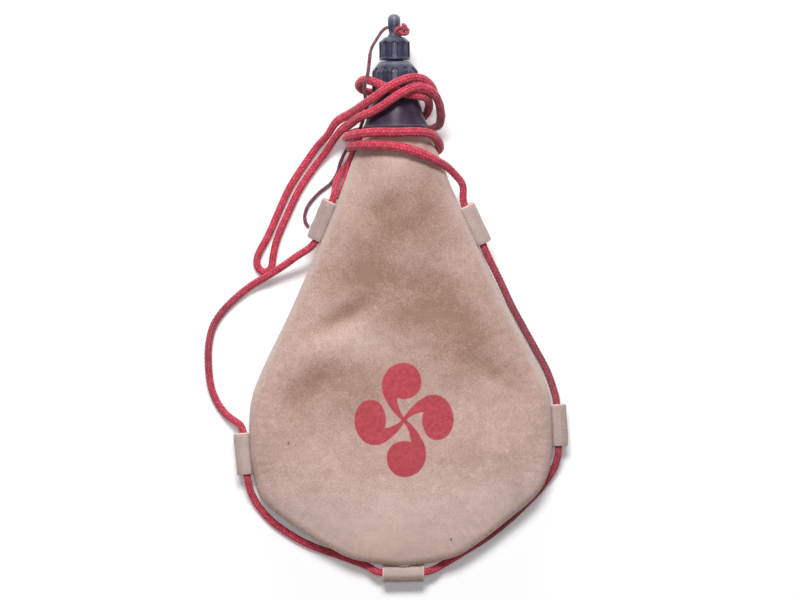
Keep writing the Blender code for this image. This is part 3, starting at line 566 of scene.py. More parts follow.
# Soft hollows and swellings: across, along, half sizes, slant in degrees and height
folds = (
    (-7, 207, 15, 6, 25, -1.3), (1, 198, 13, 6, 10, -0.9), (-22, 175, 19, 12, 20, -1.8),
    (3, 167, 19, 9, 0, -1.1), (21, 163, 13, 8, -15, -1.1), (-31, 147, 17, 5, 28, -1.8),
    (25, 148, 19, 9, -20, -1.4), (49, 117, 12, 6, -35, -1.3), (-48, 111, 15, 8, 30, -1.5),
    (-59, 100, 10, 10, 0, -0.9), (-31, 134, 25, 8, 18, 1.4), (17, 138, 20, 10, -12, 1.1),
    (-52, 133, 12, 9, 30, 0.8), (33, 113, 16, 9, 0, 0.9), (57, 75, 15, 12, 20, 0.8),
    (13, 44, 26, 12, 0, 0.8), (-40, 55, 18, 12, -20, 0.7), (6, 229, 9, 7, 0, 0.5),
)
# Darker and paler patches: partly the hide's own tone, partly painted shade in the folds' hollows
# and painted light on their swellings and towards the base: across, along, half sizes, slant and strength
toneShadePatches = (
    (-7, 207, 15, 7, 25, 0.8), (2, 197, 12, 6, 0, 0.6), (-22, 171, 19, 13, 20, 1.0),
    (2, 166, 19, 10, 0, 0.7), (27, 162, 12, 8, -15, 0.55), (-31, 148, 16, 5, 28, 0.8),
    (25, 148, 19, 10, -20, 0.5), (49, 117, 10, 5, -35, 0.5), (-48, 111, 15, 8, 30, 0.6),
    (-59, 100, 10, 10, 0, 0.4), (0, 231, 9, 8, 0, -0.6), (-31, 133, 20, 9, 18, -0.35),
    (2, 147, 15, 9, 0, 0.65), (30, 140, 26, 22, -20, 0.65), (17, 207, 11, 20, 10, 0.7),
    (-8, 190, 24, 10, 0, 0.5), (28, 120, 14, 12, 0, 0.3), (-20, 112, 16, 12, 0, 0.4),
    (-42, 116, 26, 8, 0, 0.25), (-32, 97, 18, 12, 0, 0.35), (64, 111, 14, 8, -43, 0.42),
    (-16, 103, 10, 9, 0, 0.25), (46, 133, 12, 9, 0, 0.25), (72, 60, 8, 12, 0, -0.4),
    (-15, 132, 8, 7, 0, -0.3), (-29, 176, 8, 8, 0, -0.25), (50, 42, 17, 14, -40, -0.4),
    (-48, 40, 17, 14, 40, -0.25), (30, 190, 7, 10, 0, 0.3), (0, 34, 76, 22, 0, -0.8),
    (0, 10, 66, 16, 0, -0.6),
)
backPatches = ((0, 90, 60, 50, 0, 0.3),)
unpainted = 20.0  # the distance given to all that is far from the paint
# The painted cross: one comma's outline as arcs through three points, in millimetres from the
# middle of the cross, before it is drawn out along the bag
crossPlace = (1.8, 90.0)
crossStretch = 1.155
commaArcs = (
    ((0.6, -1.6), (-6.6, 5.8), (-11.1, 14.2)),
    ((-11.1, 14.2), (-11.7, 18.4), (-11.3, 22.1)),
    ((-11.3, 22.1), (-7.1, 28.7), (0, 31.3)),
    ((0, 31.3), (6.8, 28.4), (9.7, 21.6)),
    ((9.7, 21.6), (7.9, 15.0), (2.4, 11.8)),
    ((2.4, 11.8), (-0.8, 11.5), (-3.7, 12.5)),
    ((-3.7, 12.5), (-2.6, 6.6), (0.6, 0.6)),
)


def arcThrough(first, middle, last, steps=14):
    # Points on the arc through three points, without its last
    (ax, ay), (bx, by), (cx, cy) = first, middle, last
    span = 2 * (ax * (by - cy) + bx * (cy - ay) + cx * (ay - by))
    squares = [x * x + y * y for x, y in (first, middle, last)]
    ox = (squares[0] * (by - cy) + squares[1] * (cy - ay) + squares[2] * (ay - by)) / span
    oy = (squares[0] * (cx - bx) + squares[1] * (ax - cx) + squares[2] * (bx - ax)) / span
    start = math.atan2(ay - oy, ax - ox)
    through, end = (
        (math.atan2(y - oy, x - ox) - start) % (2 * math.pi) for x, y in (middle, last)
    )
    sweep = end if through < end else end - 2 * math.pi
    radius = math.hypot(ax - ox, ay - oy)
    turns = start + sweep * np.arange(steps) / steps
    return np.column_stack([ox + radius * np.cos(turns), oy + radius * np.sin(turns)])


def crossOutlines():
    # The four commas, each a quarter turn on from the last
    comma = np.vstack([arcThrough(*arc) for arc in commaArcs])
    comma[:, 1] /= crossStretch
    outlines = []
    for quarter in range(4):
        turn = quarter * math.pi / 2
        spun = comma @ np.array([[math.cos(turn), -math.sin(turn)], [math.sin(turn), math.cos(turn)]])
        outlines.append(spun * (1, crossStretch) + crossPlace)
    return outlines


def insideDistance(points, outline):
    # Distance from each point to the outline, less than nought inside it
    nearest = np.full(len(points), 1e9)
    inside = np.zeros(len(points), bool)
    for a, b in zip(outline, np.roll(outline, -1, axis=0)):
        edge = b - a
        share = np.clip(((points - a) @ edge) / (edge @ edge), 0, 1)
        nearest = np.minimum(nearest, np.linalg.norm(points - a - share[:, None] * edge, axis=1))
        crosses = (a[1] > points[:, 1]) != (b[1] > points[:, 1])
        rise = np.where(crosses, (points[:, 1] - a[1]) / (b[1] - a[1] + 1e-12), 0)
        inside ^= crosses & (points[:, 0] < a[0] + rise * edge[0])
    return np.where(inside, -nearest, nearest)


def waves(x, y, pitch, seed):
    # Smooth irregular waves about one pitch long, between about -1 and 1
    source = np.random.default_rng(seed)
    total = np.zeros_like(x)
    for _ in range(7):
        turn, phase, scale = source.uniform(0, 6.28), source.uniform(0, 6.28), source.uniform(0.7, 1.5)
        step = 2 * math.pi / (pitch * scale)
        total += np.sin((x * math.cos(turn) + y * math.sin(turn)) * step + phase)
    return total / 3


def panelRows():
    # Half widths and places along the seam, close together where the cross is painted
    along = lengthsAlong(seam)
    place = seam[:, 1] + loop["reach"]
    near = np.abs(place - crossPlace[1]) < leather["printReach"]
    step = np.where(near, leather["printCell"], leather["cell"])
    share = np.concatenate([[0], np.cumsum(np.diff(along) / step[1:])])
    rows = np.interp(np.linspace(0, share[-1], round(share[-1])), share, np.arange(len(seam)))
    return np.column_stack([np.interp(rows, np.arange(len(seam)), column) for column in seam.T])


def panelColumns(side):
    # Turns over the dome from one rim to the other, close together in the middle in front
    fine = np.linspace(-math.pi / 2, math.pi / 2, 2000)
    middle = leather["middleTurn"] if side > 0 else 0
    widest = bag["halfWidth"]
    step = np.where(np.abs(fine) < middle, leather["printCell"] / widest, leather["cell"] / widest)
    share = np.cumsum(1 / step)
    share = (share - share[0]) / (share[-1] - share[0])
    count = round(math.pi / len(fine) * (1 / step).sum())
    return np.interp(np.linspace(0, 1, count), share, fine)


def planDistance(x, y):
    # How far inside the seam each place lies, seen from above, and the nearest place along the seam
    line = np.vstack([seam, (seam * (-1, 1))[::-1]])
    run = np.concatenate([lengthsAlong(seam), -lengthsAlong(seam)[::-1]])
    tree = KDTree(len(line))
    for number, (across, along) in enumerate(line):
        tree.insert((across, along, 0), number)
    tree.balance()
    found = [tree.find((a, b, 0))[1:] for a, b in zip(x.ravel(), y.ravel() - loop["reach"])]
    nearest, away = np.array(found).T
    return away.reshape(x.shape), run[nearest.astype(int)].reshape(x.shape)


def leatherPanel(name, side, finishes):
    # One half of the bag: up its lip at one rim, over the dome and down to the other rim
    half, along = panelRows().T[..., None]
    turn = panelColumns(side)
    height, rise, depth, strip, _ = sectionAt(along)
    taper = smoothStep(along / bag["seamLength"])
    rim = strip / 2 + bag["rimGap"]
    lip = rim + bag["lip"] + (bag["neckLip"] - bag["lip"]) * taper ** 2
    middle = (rim + lip) / 2
    reach = np.maximum((rise if side > 0 else depth) - lip, 0)
    x = np.hstack([-half, -half, half * np.sin(turn), half, half]) + leanAt(along)
    z = np.hstack([rim, middle, lip + reach * np.cos(turn) ** leather["crown"], middle, rim])
    y = np.repeat(along + loop["reach"], x.shape[1], axis=1)
    points = np.stack([x, y, height + side * z], axis=-1)
    normals = np.cross(np.gradient(points, axis=1), np.gradient(points, axis=0)) * side
    normals /= np.maximum(np.linalg.norm(normals, axis=2), 1e-9)[..., None]
    fromRim, run = planDistance(x - leanAt(along), y)
    away = smoothStep(fromRim / leather["stiffRim"])
    offset = waves(x, y, leather["swayPitch"], 3 + side) * leather["sway"] * away
    offset += waves(x, y, leather["grainPitch"], 11 + side) * leather["grainDepth"] * away
    if side > 0:
        offset += bumpsAt(x, y, folds) * away
    # Puckers where the seam was drawn up, and pleats gathered into the neck
    pucker = run / leather["puckerPitch"] * 2 * math.pi
    ripple = np.sin(pucker + 0.9 * np.sin(pucker * 0.37) + 0.6 * np.sin(pucker * 0.61 + 1))
    fade = np.exp(-fromRim / leather["puckerReach"]) * away
    offset += ripple * fade * leather["puckerDepth"] * (1 - taper)
    below = bag["seamLength"] - along
    around = np.arctan2(z, x)
    gather = np.clip((below - leather["pleatStart"]) / leather["pleatBlend"], 0, 1)
    gather = np.exp(-below / leather["pleatReach"]) * gather
    offset += np.sin(around * leather["pleats"] + 0.4 * np.sin(below / 7)) * gather * leather["pleatDepth"]
    points += normals * offset[..., None]
    points[..., 2] = np.maximum(points[..., 2], 0)
    flat = points.reshape(-1, 3)
    # The hide's tone, with painted shade and painted light from the patches
    shade = bumpsAt(x, y, toneShadePatches if side > 0 else backPatches)
    # Painted light: paler near the rim along the base, where the dome turns away from the lamps
    rubbed = smoothStep((leather["paintedLightBelow"] - y) / leather["paintedLightOver"])
    shade -= leather["paintedLightAtRim"] * np.exp(-fromRim / leather["puckerReach"]) * rubbed
    painted = np.full(len(flat), unpainted)
    if side > 0:
        near = np.linalg.norm(flat[:, :2] - crossPlace, axis=1) < leather["printReach"] * 1.2
        painted[near] = np.min([insideDistance(flat[near, :2], o) for o in crossOutlines()], axis=0)
    shades = {"shade": shade, "painted": painted, "fromRim": fromRim, "run": run}
    piece = meshPiece(name, points, finishes, shades, closed=False, merge=0.001, facing=side)
    # The wall thins out at the middle of the base, where the two rims come together
    tip = inFrame((leanAt(0), loop["reach"], 0))
    group = piece.vertex_groups.new(name="wall")
    for point in piece.data.vertices:
        away = math.hypot(point.co.x - tip[0], leather["tipSquash"] * (point.co.y - tip[1]))
        group.add([point.index], min(away / (leather["tipReach"] * mm), 1), "REPLACE")
    wall = piece.modifiers.new("leather", "SOLIDIFY")
    wall.thickness = bag["leather"] * mm
    wall.offset = -1
    wall.vertex_group = "wall"
    wall.material_offset_rim = 1
    return piece


# The rim brown is dirt and painted shade on the turned rim below; the greyish pale beside it is painted
# light on the rim at the sides
hide = {
    "body": "#C8A79C", "dark": "#9D7B69", "pale": "#E2C5BC", "palest": "#FFD9C9", "rim": "#94695A",
    "rimPaintedLight": "#DACDC8", "edge": "#DCBDB4", "paleEdge": "#E6D0C4", "speck": "#5A463C",
    "paint": "#C4515A", "paintDark": "#B2434D", "paintGrain": 2.2,
    "blotch": 22, "mottle": 5, "nap": 1.0, "marks": ((-61.8, 78.1), (26.6, 23.6)), "markSize": 0.7,
    "markSquash": 0.6, "rimReach": 4, "stroke": 0.9, "strokeLength": 2.5,
}


def suede(name, body, dark, pale):
    # Split leather with its flesh side out: a short dull nap, mottled where it is brushed
    made, tree, shader = newMaterial(name, 0.95, 0.2)
    place = addNode(tree, "TexCoord").outputs["Object"]
    # The shade attribute carries the tone together with painted shade and painted light
    shade = addNode(tree, "Attribute", {"attribute_name": "shade"}).outputs["Fac"]
    blotch, mottle, nap = (
        addNode(tree, "TexNoise", {"Vector": place, "Scale": 1 / (hide[key] * mm), "Detail": detail})
        for key, detail in (("blotch", 3), ("mottle", 4), ("nap", 3))
    )
    mixed = addNode(tree, "MapRange", {"Value": shade, "From": (-2, 1.2), "To": (-0.85, 0.52)})
    for noise, much in ((blotch, 0.35), (mottle, 0.35), (nap, 0.7)):
        mixed = addNode(tree, "Math MULTIPLY_ADD", {0: noise, 1: much, 2: mixed})
    share = addNode(tree, "MapRange", {"Value": mixed, "From": (-0.1, 1.15)})
    colour = addNode(tree, "ValToRGB", {"Fac": share, "stops": (
        (0, hide["palest"]), (0.37, pale), (0.63, body), (1, dark)
    )})
    pile = addNode(tree, "Math MULTIPLY_ADD", {0: mottle, 1: 0.8, 2: nap})
    bump = addNode(tree, "Bump", {"Height": pile, "Strength": 0.6, "Distance": 0.25 * mm})
    fillNode(tree, shader, {
        "Base Color": colour, "Normal": bump, "Sheen Weight": 0.2, "Sheen Roughness": 0.6
    })
    return made, tree, shader, colour, nap


def paintedSuede(name):
    # The same suede with screen paint on it, thin enough for the nap to break its edge
    made, tree, shader, hideColour, nap = suede(name, hide["body"], hide["dark"], hide["pale"])
    place = addNode(tree, "TexCoord").outputs["Object"]
    inside, fromRim, run = (
        addNode(tree, "Attribute", {"attribute_name": key}).outputs["Fac"]
        for key in ("painted", "fromRim", "run")
    )
    worn = addNode(tree, "Math MULTIPLY_ADD", {0: nap, 1: 0.9, 2: inside})
    cover = addNode(tree, "MapRange", {"Value": worn, "From": (0.75, 0.25)})
    grain = 1 / (hide["paintGrain"] * mm)
    thin = addNode(tree, "TexNoise", {"Vector": place, "Scale": grain, "Detail": 4})
    tone = addNode(tree, "ValToRGB", {"Fac": thin, "stops": (
        (0.35, hide["paint"]), (0.7, hide["paintDark"])
    )})
    # The turned rim is browned below in short strokes away from the seam, dirt and painted shade
    # at once, and paled at the sides with painted light against the shade of the dome's curve
    across = addNode(tree, "Math MULTIPLY", {0: run, 1: 1 / hide["stroke"]})
    inward = addNode(tree, "Math MULTIPLY", {0: fromRim, 1: 1 / hide["strokeLength"]})
    ruled = addNode(tree, "CombineXYZ", {"X": across, "Y": inward})
    strokes = addNode(tree, "TexNoise", {"Vector": ruled, "Scale": 1.0, "Detail": 2})
    near = addNode(tree, "MapRange", {"Value": fromRim, "From": (hide["rimReach"], 0.3)})
    rimDirtAndShading = addNode(tree, "Math MULTIPLY", {0: near, 1: strokes})
    fromBase = addNode(tree, "Math ABSOLUTE", {0: run})
    low = addNode(tree, "MapRange", {"Value": fromBase, "From": (150, 105)})
    # Dirt and painted shade below, painted light at the sides
    rimDirtAndShadingTone = addNode(tree, "MixRGB", {"Fac": low, "Color1": hide["rimPaintedLight"], "Color2": hide["rim"]})
    rubbed = addNode(tree, "MixRGB", {"Fac": rimDirtAndShading, "Color1": hideColour, "Color2": rimDirtAndShadingTone})
    mixed = addNode(tree, "MixRGB", {"Fac": cover, "Color1": rubbed, "Color2": tone})
    # Small dark specks, longer along the bag than across it
    squash, size = hide["markSquash"], hide["markSize"] * mm
    flat = addNode(tree, "VectorMath MULTIPLY", {0: place, 1: (1, squash, 0)})
    for mark in hide["marks"]:
        x, y, _ = inFrame([*mark, 0])
        gap = addNode(tree, "VectorMath DISTANCE", {0: flat, 1: (x, y * squash, 0)})
        dot = addNode(tree, "MapRange", {
            "Value": gap.outputs["Value"], "From": (size * 0.5, size), "To": (0.75, 0)
        })
        mixed = addNode(tree, "MixRGB", {"Fac": dot, "Color1": mixed, "Color2": hide["speck"]})
    fillNode(tree, shader, {"Base Color": mixed})
    return made


hideFinish = paintedSuede("paintedCowhideSuede")
backFinish = suede("cowhideSuede", hide["body"], hide["dark"], hide["pale"])[0]
edgeFinish = suede("cutSuedeEdge", hide["edge"], hide["body"], hide["paleEdge"])[0]
front = leatherPanel("front_leather", 1, [hideFinish, edgeFinish])
back = leatherPanel("back_leather", -1, [backFinish, edgeFinish])
dress(front, "bag", "front_panel")
dress(back, "bag", "back_panel")
print("leather:", len(front.data.vertices), "points in front,", len(back.data.vertices), "behind")


def seamDirections(line):
    # Outward directions across the half outline
    slopes = np.gradient(line, axis=0)
    slopes[0] = (1, 0)
    slopes /= np.linalg.norm(slopes, axis=1)[:, None]
    return np.column_stack([slopes[:, 1], -slopes[:, 0]])


# The welt's section: out from the seam, with None for its inner edge, and up
weltSection = (
    (0.1, -0.7), (0.45, -0.35), (0.45, 0.35), (0.1, 0.7), (-0.6, 1), (None, 1), (None, -1), (-0.6, -1),
)


def weltStrip():
    # The strip sewn between the two rims, a little proud of them, from neck to neck
    line = seamOutline(1.2)
    right = np.column_stack([line, seamDirections(line)])
    left = (right * (-1, 1, -1, 1))[:0:-1]
    x, y, outX, outY = np.vstack([left, right]).T
    height, _, _, strip, inset = sectionAt(y)
    rows = []
    for out, lift in weltSection:
        offset = -inset if out is None else out
        rows.append(np.column_stack([
            x + outX * offset + leanAt(y), y + outY * offset + loop["reach"], height + lift * strip / 2
        ]))
    points = np.stack(rows, axis=1)
    shade = np.zeros(points.shape[:2])
    return meshPiece("seam_strip", points, [edgeFinish], {"shade": shade}, capped=True)


dress(weltStrip(), "bag", "seam_welt")


def ribbon(name, path, sides, axis, finishes, shade):
    # A strap with rounded cut edges, swept along a folded path; sides point through its thickness
    cut, half = (loop["strip"] - loop["play"]) / 2, loop["width"] / 2
    inner = np.linspace(-half + cut, half - cut, loop["acrossPoints"])
    across = np.concatenate([[-half], inner, [half]])
    ring = [(w, 1) for w in across] + [(w, -1) for w in across[::-1]]
    points = np.array([
        [point + axis * w + side * (cut * (loop["edge"] if abs(w) == half else 1) * t) for w, t in ring]
        for point, side in zip(path, sides)
    ])
    # The columns of faces along the two cut edges
    count, turning = len(ring), len(across)
    cutColumns = (0, turning - 2, turning - 1, turning, count - 2, count - 1)
    slots = [int(number % count in cutColumns) for number in range((len(points) - 1) * count)]
    drift = waves(points[..., 0] + points[..., 2], points[..., 1], loop["wrinklePitch"], len(name))
    points = points + sides[:, None] * drift[..., None] * loop["wrinkle"]
    shades = {"shade": np.repeat(shade, count)}
    return meshPiece(name, points, finishes, shades, capped=True, slots=slots + [1, 1])


def strapLoop(name):
    # A short strap folded round the cord, its two ends between the panels
    origin, axes = loopFrame(name)
    far = loop["reach"] - loop["strip"] - loop["eye"]
    near = far - loop["slack"]
    half = loop["strip"] / 2
    radius = loop["eye"] + half
    arcs = [[(middle + radius * math.cos(turn), radius * math.sin(turn)) for turn in np.radians(turns)]
            for middle, turns in ((near, np.linspace(*loop["legTurns"], 5)),
                                  (far, np.linspace(*loop["foldTurns"], 17)))]
    leg = [(-loop["foot"], half), (-0.4, half + loop["play"])] + arcs[0]
    line = smoothCurve(leg + arcs[1] + [(x, -y) for x, y in leg[::-1]], 0.35)
    slope = np.gradient(line, axis=0)
    slope /= np.linalg.norm(slope, axis=1)[:, None]
    path = origin + line[:, :1] * axes[0] + line[:, 1:] * axes[1]
    sides = -slope[:, 1:] * axes[0] + slope[:, :1] * axes[1]
    # Painted shade darkens the fold where it turns under
    _, _, tone, worn = loopPlaces[name]
    shade = tone + worn * smoothStep((line[:, 0] - far + loop["foldShadeStart"]) / loop["foldShadeReach"])
    return ribbon(name + "_strap", path, sides, axes[2], [loopFinish, edgeFinish], shade)


loopFinish = suede("loopSuede", "#B79F99", "#9A827A", "#C7B1AC")[0]
for name in loopPlaces:
    dress(strapLoop(name), "bag", name)

latex = {"wall": 1.0, "ease": 0.6, "cell": 3.0, "around": 96}


def latexLiner():
    # The thin bladder that lines the leather, closed at the base and open at the neck
    line = seamOutline(latex["cell"])
    out = seamDirections(line)
    turns = np.linspace(0, 2 * np.pi, latex["around"], endpoint=False)
    inset = np.maximum(sectionAt(line[:, 1])[4], bag["leather"]) + bag["rimGap"]
    x, y = (line - out * inset[:, None]).T[..., None]
    height, rise, depth, _, _ = sectionAt(y)
    wallGap = bag["leather"] + bag["rimGap"]
    ease = wallGap + latex["ease"] * (1 - smoothStep(y / bag["seamLength"]))
    up = np.sin(turns)
    reach = np.where(up > 0, rise - ease, depth - ease)
    bulge = np.where(up > 0, np.abs(up) ** leather["crown"], up)
    z = np.maximum(height + reach * bulge, wallGap)
    across = np.maximum(x, 0) * np.cos(turns) + leanAt(y)
    place = np.repeat(y + loop["reach"], len(turns), axis=1)
    # It sinks with the folds of the front
    z += np.where(up > 0, np.minimum(bumpsAt(across, place, folds), 0) * up, 0)
    grid = np.stack([across, place, z], axis=-1)
    made = meshPiece("latex_liner", grid, [latexFinish], merge=0.02)
    wall = made.modifiers.new("latex", "SOLIDIFY")
    wall.thickness = latex["wall"] * mm
    wall.offset = -1
    return made


def rubberSkin(name, skin):
    # Rubber with one soft noise that tints and dents it
    made, tree, shader = newMaterial(name, skin["rough"], skin["specular"])
    place = addNode(tree, "TexCoord").outputs["Object"]
    ripple = addNode(tree, "TexNoise", {
        "Vector": place, "Scale": 1 / (skin["grain"] * mm), "Detail": skin["detail"]
    })
    tone = addNode(tree, "ValToRGB", {"Fac": ripple, "stops": skin["tones"]})
    bump = addNode(tree, "Bump", {
        "Height": ripple, "Strength": skin["dent"], "Distance": skin["depth"] * mm
    })
    fillNode(tree, shader, {"Base Color": tone, "Normal": bump})
    return made


# Dipped natural latex, black and satin, with the faint ripples of the dip
latexFinish = rubberSkin("dippedLatex", {
    "rough": 0.45, "specular": 0.5, "grain": 8, "detail": 3, "dent": 0.4, "depth": 0.3,
    "tones": ((0.3, "#15130F"), (0.7, "#2A2620")),
})
# Moulded nitrile washers, dull, with a bloom
rubberFinish = rubberSkin("mouldedNitrileRubber", {
    "rough": 0.75, "specular": 0.4, "grain": 2, "detail": 4, "dent": 0.2, "depth": 0.1,
    "tones": ((0.35, "#B9B2A6"), (0.7, "#CFC9BE")),
})
dress(latexLiner(), "bag", "bladder")
print("loops, welt and liner")

# Nozzle: turned pieces on the nozzle's axis, each standing on its frame node's own base
collar = {
    "radius": 17.9, "rim": 1.3, "step": 0.7, "topRadius": 12.4, "height": 16.8, "grip": 3,
    "bell": ((0.2, 0.78), (0.45, 0.5), (0.72, 0.27), (0.9, 0.09)),
    "leatherBore": 15.9, "flangeBore": 14.65, "seat": 6.0, "spoutBore": 11.3,
    "ease": 0.3, "around": 192, "worn": ((0.8, 0.8, 0.25),),
}
insert = {
    "bore": 8.5, "sleeve": 12.0, "taper": 0.6, "barb": 3, "sleeveLength": 20.3, "flangeRadius": 14.35,
    "flange": 2.4, "radius": 11, "height": 44.8, "threadPitch": 3, "threadDepth": 0.3,
    "threadReach": 15, "threadStart": 0.8, "threadFade": 1.5, "ease": 0.3, "around": 192, "worn": (),
}
# The filler's worn place is a painted highlight on its shoulder under the stopper
filler = {
    "bore": 11.4, "radius": 12.9, "topRadius": 8.3, "height": 18.4, "skirt": 12.8, "passage": 5.3,
    "topStep": 0.5, "flutes": 12, "fluteWidth": 4.2, "fluteHeight": 13.2, "fluteFoot": 1.6,
    "fluteFlare": 0.5, "ease": 0.5, "around": 288, "worn": ((17.2, 0.9, 0.5),),
}
jet = {
    "radius": 5, "flange": 7.4, "flangeWall": 1.2, "bore": 2.6, "hole": 0.9, "tipRadius": 2.3, "tip": 2.6,
    "cone": 1.7, "threadPitch": 2.5, "threadDepth": 0.3, "threadReach": 6, "threadStart": 0.6,
    "threadFade": 1.2, "ease": 0.2, "around": 192, "worn": (),
}
# The stopper's worn places are painted highlights on the knob's top, the stem and the shoulder
stopper = {
    "bore": 5.4, "radius": 8.4, "topRadius": 5.7, "height": 12.4, "skirt": 9.8,
    "flutes": 10, "fluteWidth": 3.5, "fluteHeight": 8.6, "fluteFoot": 1.4, "fluteFlare": 0.5,
    "stem": 2.9, "stemLength": 3.5, "stemFoot": 4.1, "knob": 3.5, "knobFoot": 3.1, "knobLength": 9.3,
    "knobDome": 2.8, "knobHole": 1.5, "knobSwell": 3.6, "knobTip": 1.2, "stemRise": 2.2, "stemEase": 0.5,
    "ease": 0.4, "around": 240, "worn": ((23.6, 2.6, 0.75), (14.2, 1.5, 0.4), (11.6, 0.8, 0.3)),
}
# The flutes' depth, the softness of their sides and how high their feet flare out; the share of
# the pitch that a thread's flank takes; the step at a cap's top; a washer's seat in its cap
fluteDepth, fluteBlend, flareHeight = 1.0, 0.7, 2.5
threadWidth = 0.32
capStep, washerSink = 0.2, 0.3


def mouldedPlastic(name, body, pale, rough, specular):
    # Injection-moulded polypropylene, dark navy: satin, softly scuffed where hands turn it, and
    # greyed on the parts that stand out, partly wear and partly painted highlight
    made, tree, shader = newMaterial(name, rough, specular)
    place = addNode(tree, "TexCoord").outputs["Object"]
    handled, scuff = (
        addNode(tree, "TexNoise", {"Vector": place, "Scale": 1 / (size * mm), "Detail": detail})
        for size, detail in ((7, 4), (0.6, 3))
    )
    both = addNode(tree, "Math MULTIPLY_ADD", {0: scuff, 1: 0.5, 2: handled})
    clean = addNode(tree, "ValToRGB", {"Fac": both, "stops": ((0.55, body), (0.95, pale))})
    worn = addNode(tree, "Attribute", {"attribute_name": "worn"}).outputs["Fac"]
    grit = addNode(tree, "MapRange", {"Value": scuff, "From": (0.3, 0.6), "To": (0.6, 1)})
    # Greyed where the worn attribute says: wear, and painted highlight on the caps and knob
    wearAndHighlight = addNode(tree, "Math MULTIPLY", {0: worn, 1: grit})
    tone = addNode(tree, "MixRGB", {"Fac": wearAndHighlight, "Color1": clean, "Color2": "#868C9C"})
    dulled = addNode(tree, "MapRange", {
        "Value": both, "From": (0.4, 1.1), "To": (rough - 0.08, rough + 0.2)
    })
    bump = addNode(tree, "Bump", {"Height": both, "Strength": 0.25, "Distance": 0.05 * mm})
    fillNode(tree, shader, {"Base Color": tone, "Roughness": dulled, "Normal": bump})
    return made


def softened(profile, ease, closed):
    # The profile with its corners rounded, and points along its sides
    corners = [np.array(corner, float) for corner in profile]
    made = []
    for number, corner in enumerate(corners):
        before, after = corners[number - 1], corners[(number + 1) % len(corners)]
        if not closed and number in (0, len(corners) - 1):
            made.append(corner)
            continue
        cut = min(ease, np.linalg.norm(before - corner) * 0.45, np.linalg.norm(after - corner) * 0.45)
        start = corner + (before - corner) / np.linalg.norm(before - corner) * cut
        end = corner + (after - corner) / np.linalg.norm(after - corner) * cut
        for t in np.linspace(0, 1, 5):
            made.append(start * (1 - t) ** 2 + corner * 2 * t * (1 - t) + end * t ** 2)
    if closed:
        made.append(made[0])
    fine = [made[0]]
    for one, other in zip(made, made[1:]):
        steps = max(1, math.ceil(np.linalg.norm(other - one) / 0.35))
        fine += [one + (other - one) * step / steps for step in range(1, steps + 1)]
    return np.array(fine[:-1] if closed else fine)


def fluted(style):
    # Cuts arch-topped grooves round the outside of a cap
    pitch = 2 * np.pi / style["flutes"]
    half, foot = style["fluteWidth"] / 2, style["fluteFoot"]
    spring = style["fluteHeight"] - half

    def shape(turn, height, radius):
        across = np.abs((turn - np.pi / 2 + pitch / 2) % pitch - pitch / 2) * style["radius"]
        flare = style["fluteFlare"] * np.clip(1 - (height - foot) / flareHeight, 0, 1) ** 2
        arch = half - np.hypot(across, np.maximum(height - foot - spring, 0))
        inside = np.where(height - foot > spring, arch, half + flare - across)
        groove = fluteDepth * smoothStep(np.minimum(inside, height - foot) / fluteBlend + 0.5)
        outside = np.abs(radius - style["radius"]) < 0.6
        outside |= (height > style["skirt"]) & (height < style["height"] + capStep)
        return np.where(outside & (radius > style["topRadius"]), -groove, 0)
    return shape


def threaded(style, top):
    # Raises a rounded screw thread on the outside, fading out just below the top
    def shape(turn, height, radius):
        phase = (height / style["threadPitch"] - turn / (2 * np.pi)) % 1
        ridge = smoothStep(1 - np.abs(phase - 0.5) / threadWidth) * style["threadDepth"]
        outside = (np.abs(radius - style["radius"]) < 0.05) & (height > top - style["threadReach"])
        fade = np.clip((top - style["threadStart"] - height) / style["threadFade"], 0, 1)
        return np.where(outside, ridge * fade, 0)
    return shape


def turnedPiece(name, node, profile, finish, style, shape=None):
    # A profile of radius and height turned round the nozzle's axis, with shape() moving its
    # outside. The style's "worn" gives places along it, their reach and how much each is greyed, as wear
    # and as painted highlight.
    closed = profile[0][0] > 0
    line = softened(profile, style["ease"], closed)
    turns = np.arange(style["around"]) / style["around"] * 2 * np.pi
    radius = np.repeat(line[:, :1], len(turns), axis=1)
    height = np.repeat(line[:, 1:], len(turns), axis=1)
    if shape:
        radius = radius + shape(turns[None] + 0 * radius, height, radius)
    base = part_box(node)[0][1] / mm - baseY
    points = np.stack([radius * np.cos(turns), base + height, axisZ + radius * np.sin(turns)], axis=-1)
    if closed:
        points = np.concatenate([points, points[:1]])
    rubbed = np.zeros(points.shape[:2])
    for at, reach, much in style["worn"]:
        rubbed += much * np.exp(-((points[..., 1] - base - at) / reach) ** 2)
    made = meshPiece(name, points, [finish], {"worn": rubbed}, merge=0.002)
    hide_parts(node)
    return made


plastic = mouldedPlastic("mouldedNavyPolypropylene", "#2C2B42", "#46465E", 0.24, 0.5)
# The collar's purple tone is partly painted reflection of the red cord lashed round it
collarFinish = mouldedPlastic("mouldedDarkPolypropylene", "#2F2536", "#4A3B4E", 0.3, 0.25)

shoulder = collar["radius"] - collar["step"]
bellRise = collar["height"] - collar["rim"]
bell = [
    (shoulder, collar["rim"] + 0.3),
    *[(collar["topRadius"] + (shoulder - collar["topRadius"]) * out, collar["rim"] + bellRise * up)
      for up, out in collar["bell"]],
    (collar["topRadius"], collar["height"]),
]
collarProfile = (
    (collar["radius"], 0), (collar["radius"], collar["rim"]), (shoulder, collar["rim"]),
    *smoothCurve(bell, 0.6),
    (collar["spoutBore"], collar["height"]), (collar["spoutBore"], collar["seat"]),
    (collar["flangeBore"], collar["seat"]), (collar["flangeBore"], collar["grip"]),
    (collar["leatherBore"], collar["grip"]), (collar["leatherBore"], 0),
)
collarPiece = turnedPiece("nozzle_collar", "collar", collarProfile, collarFinish, collar)

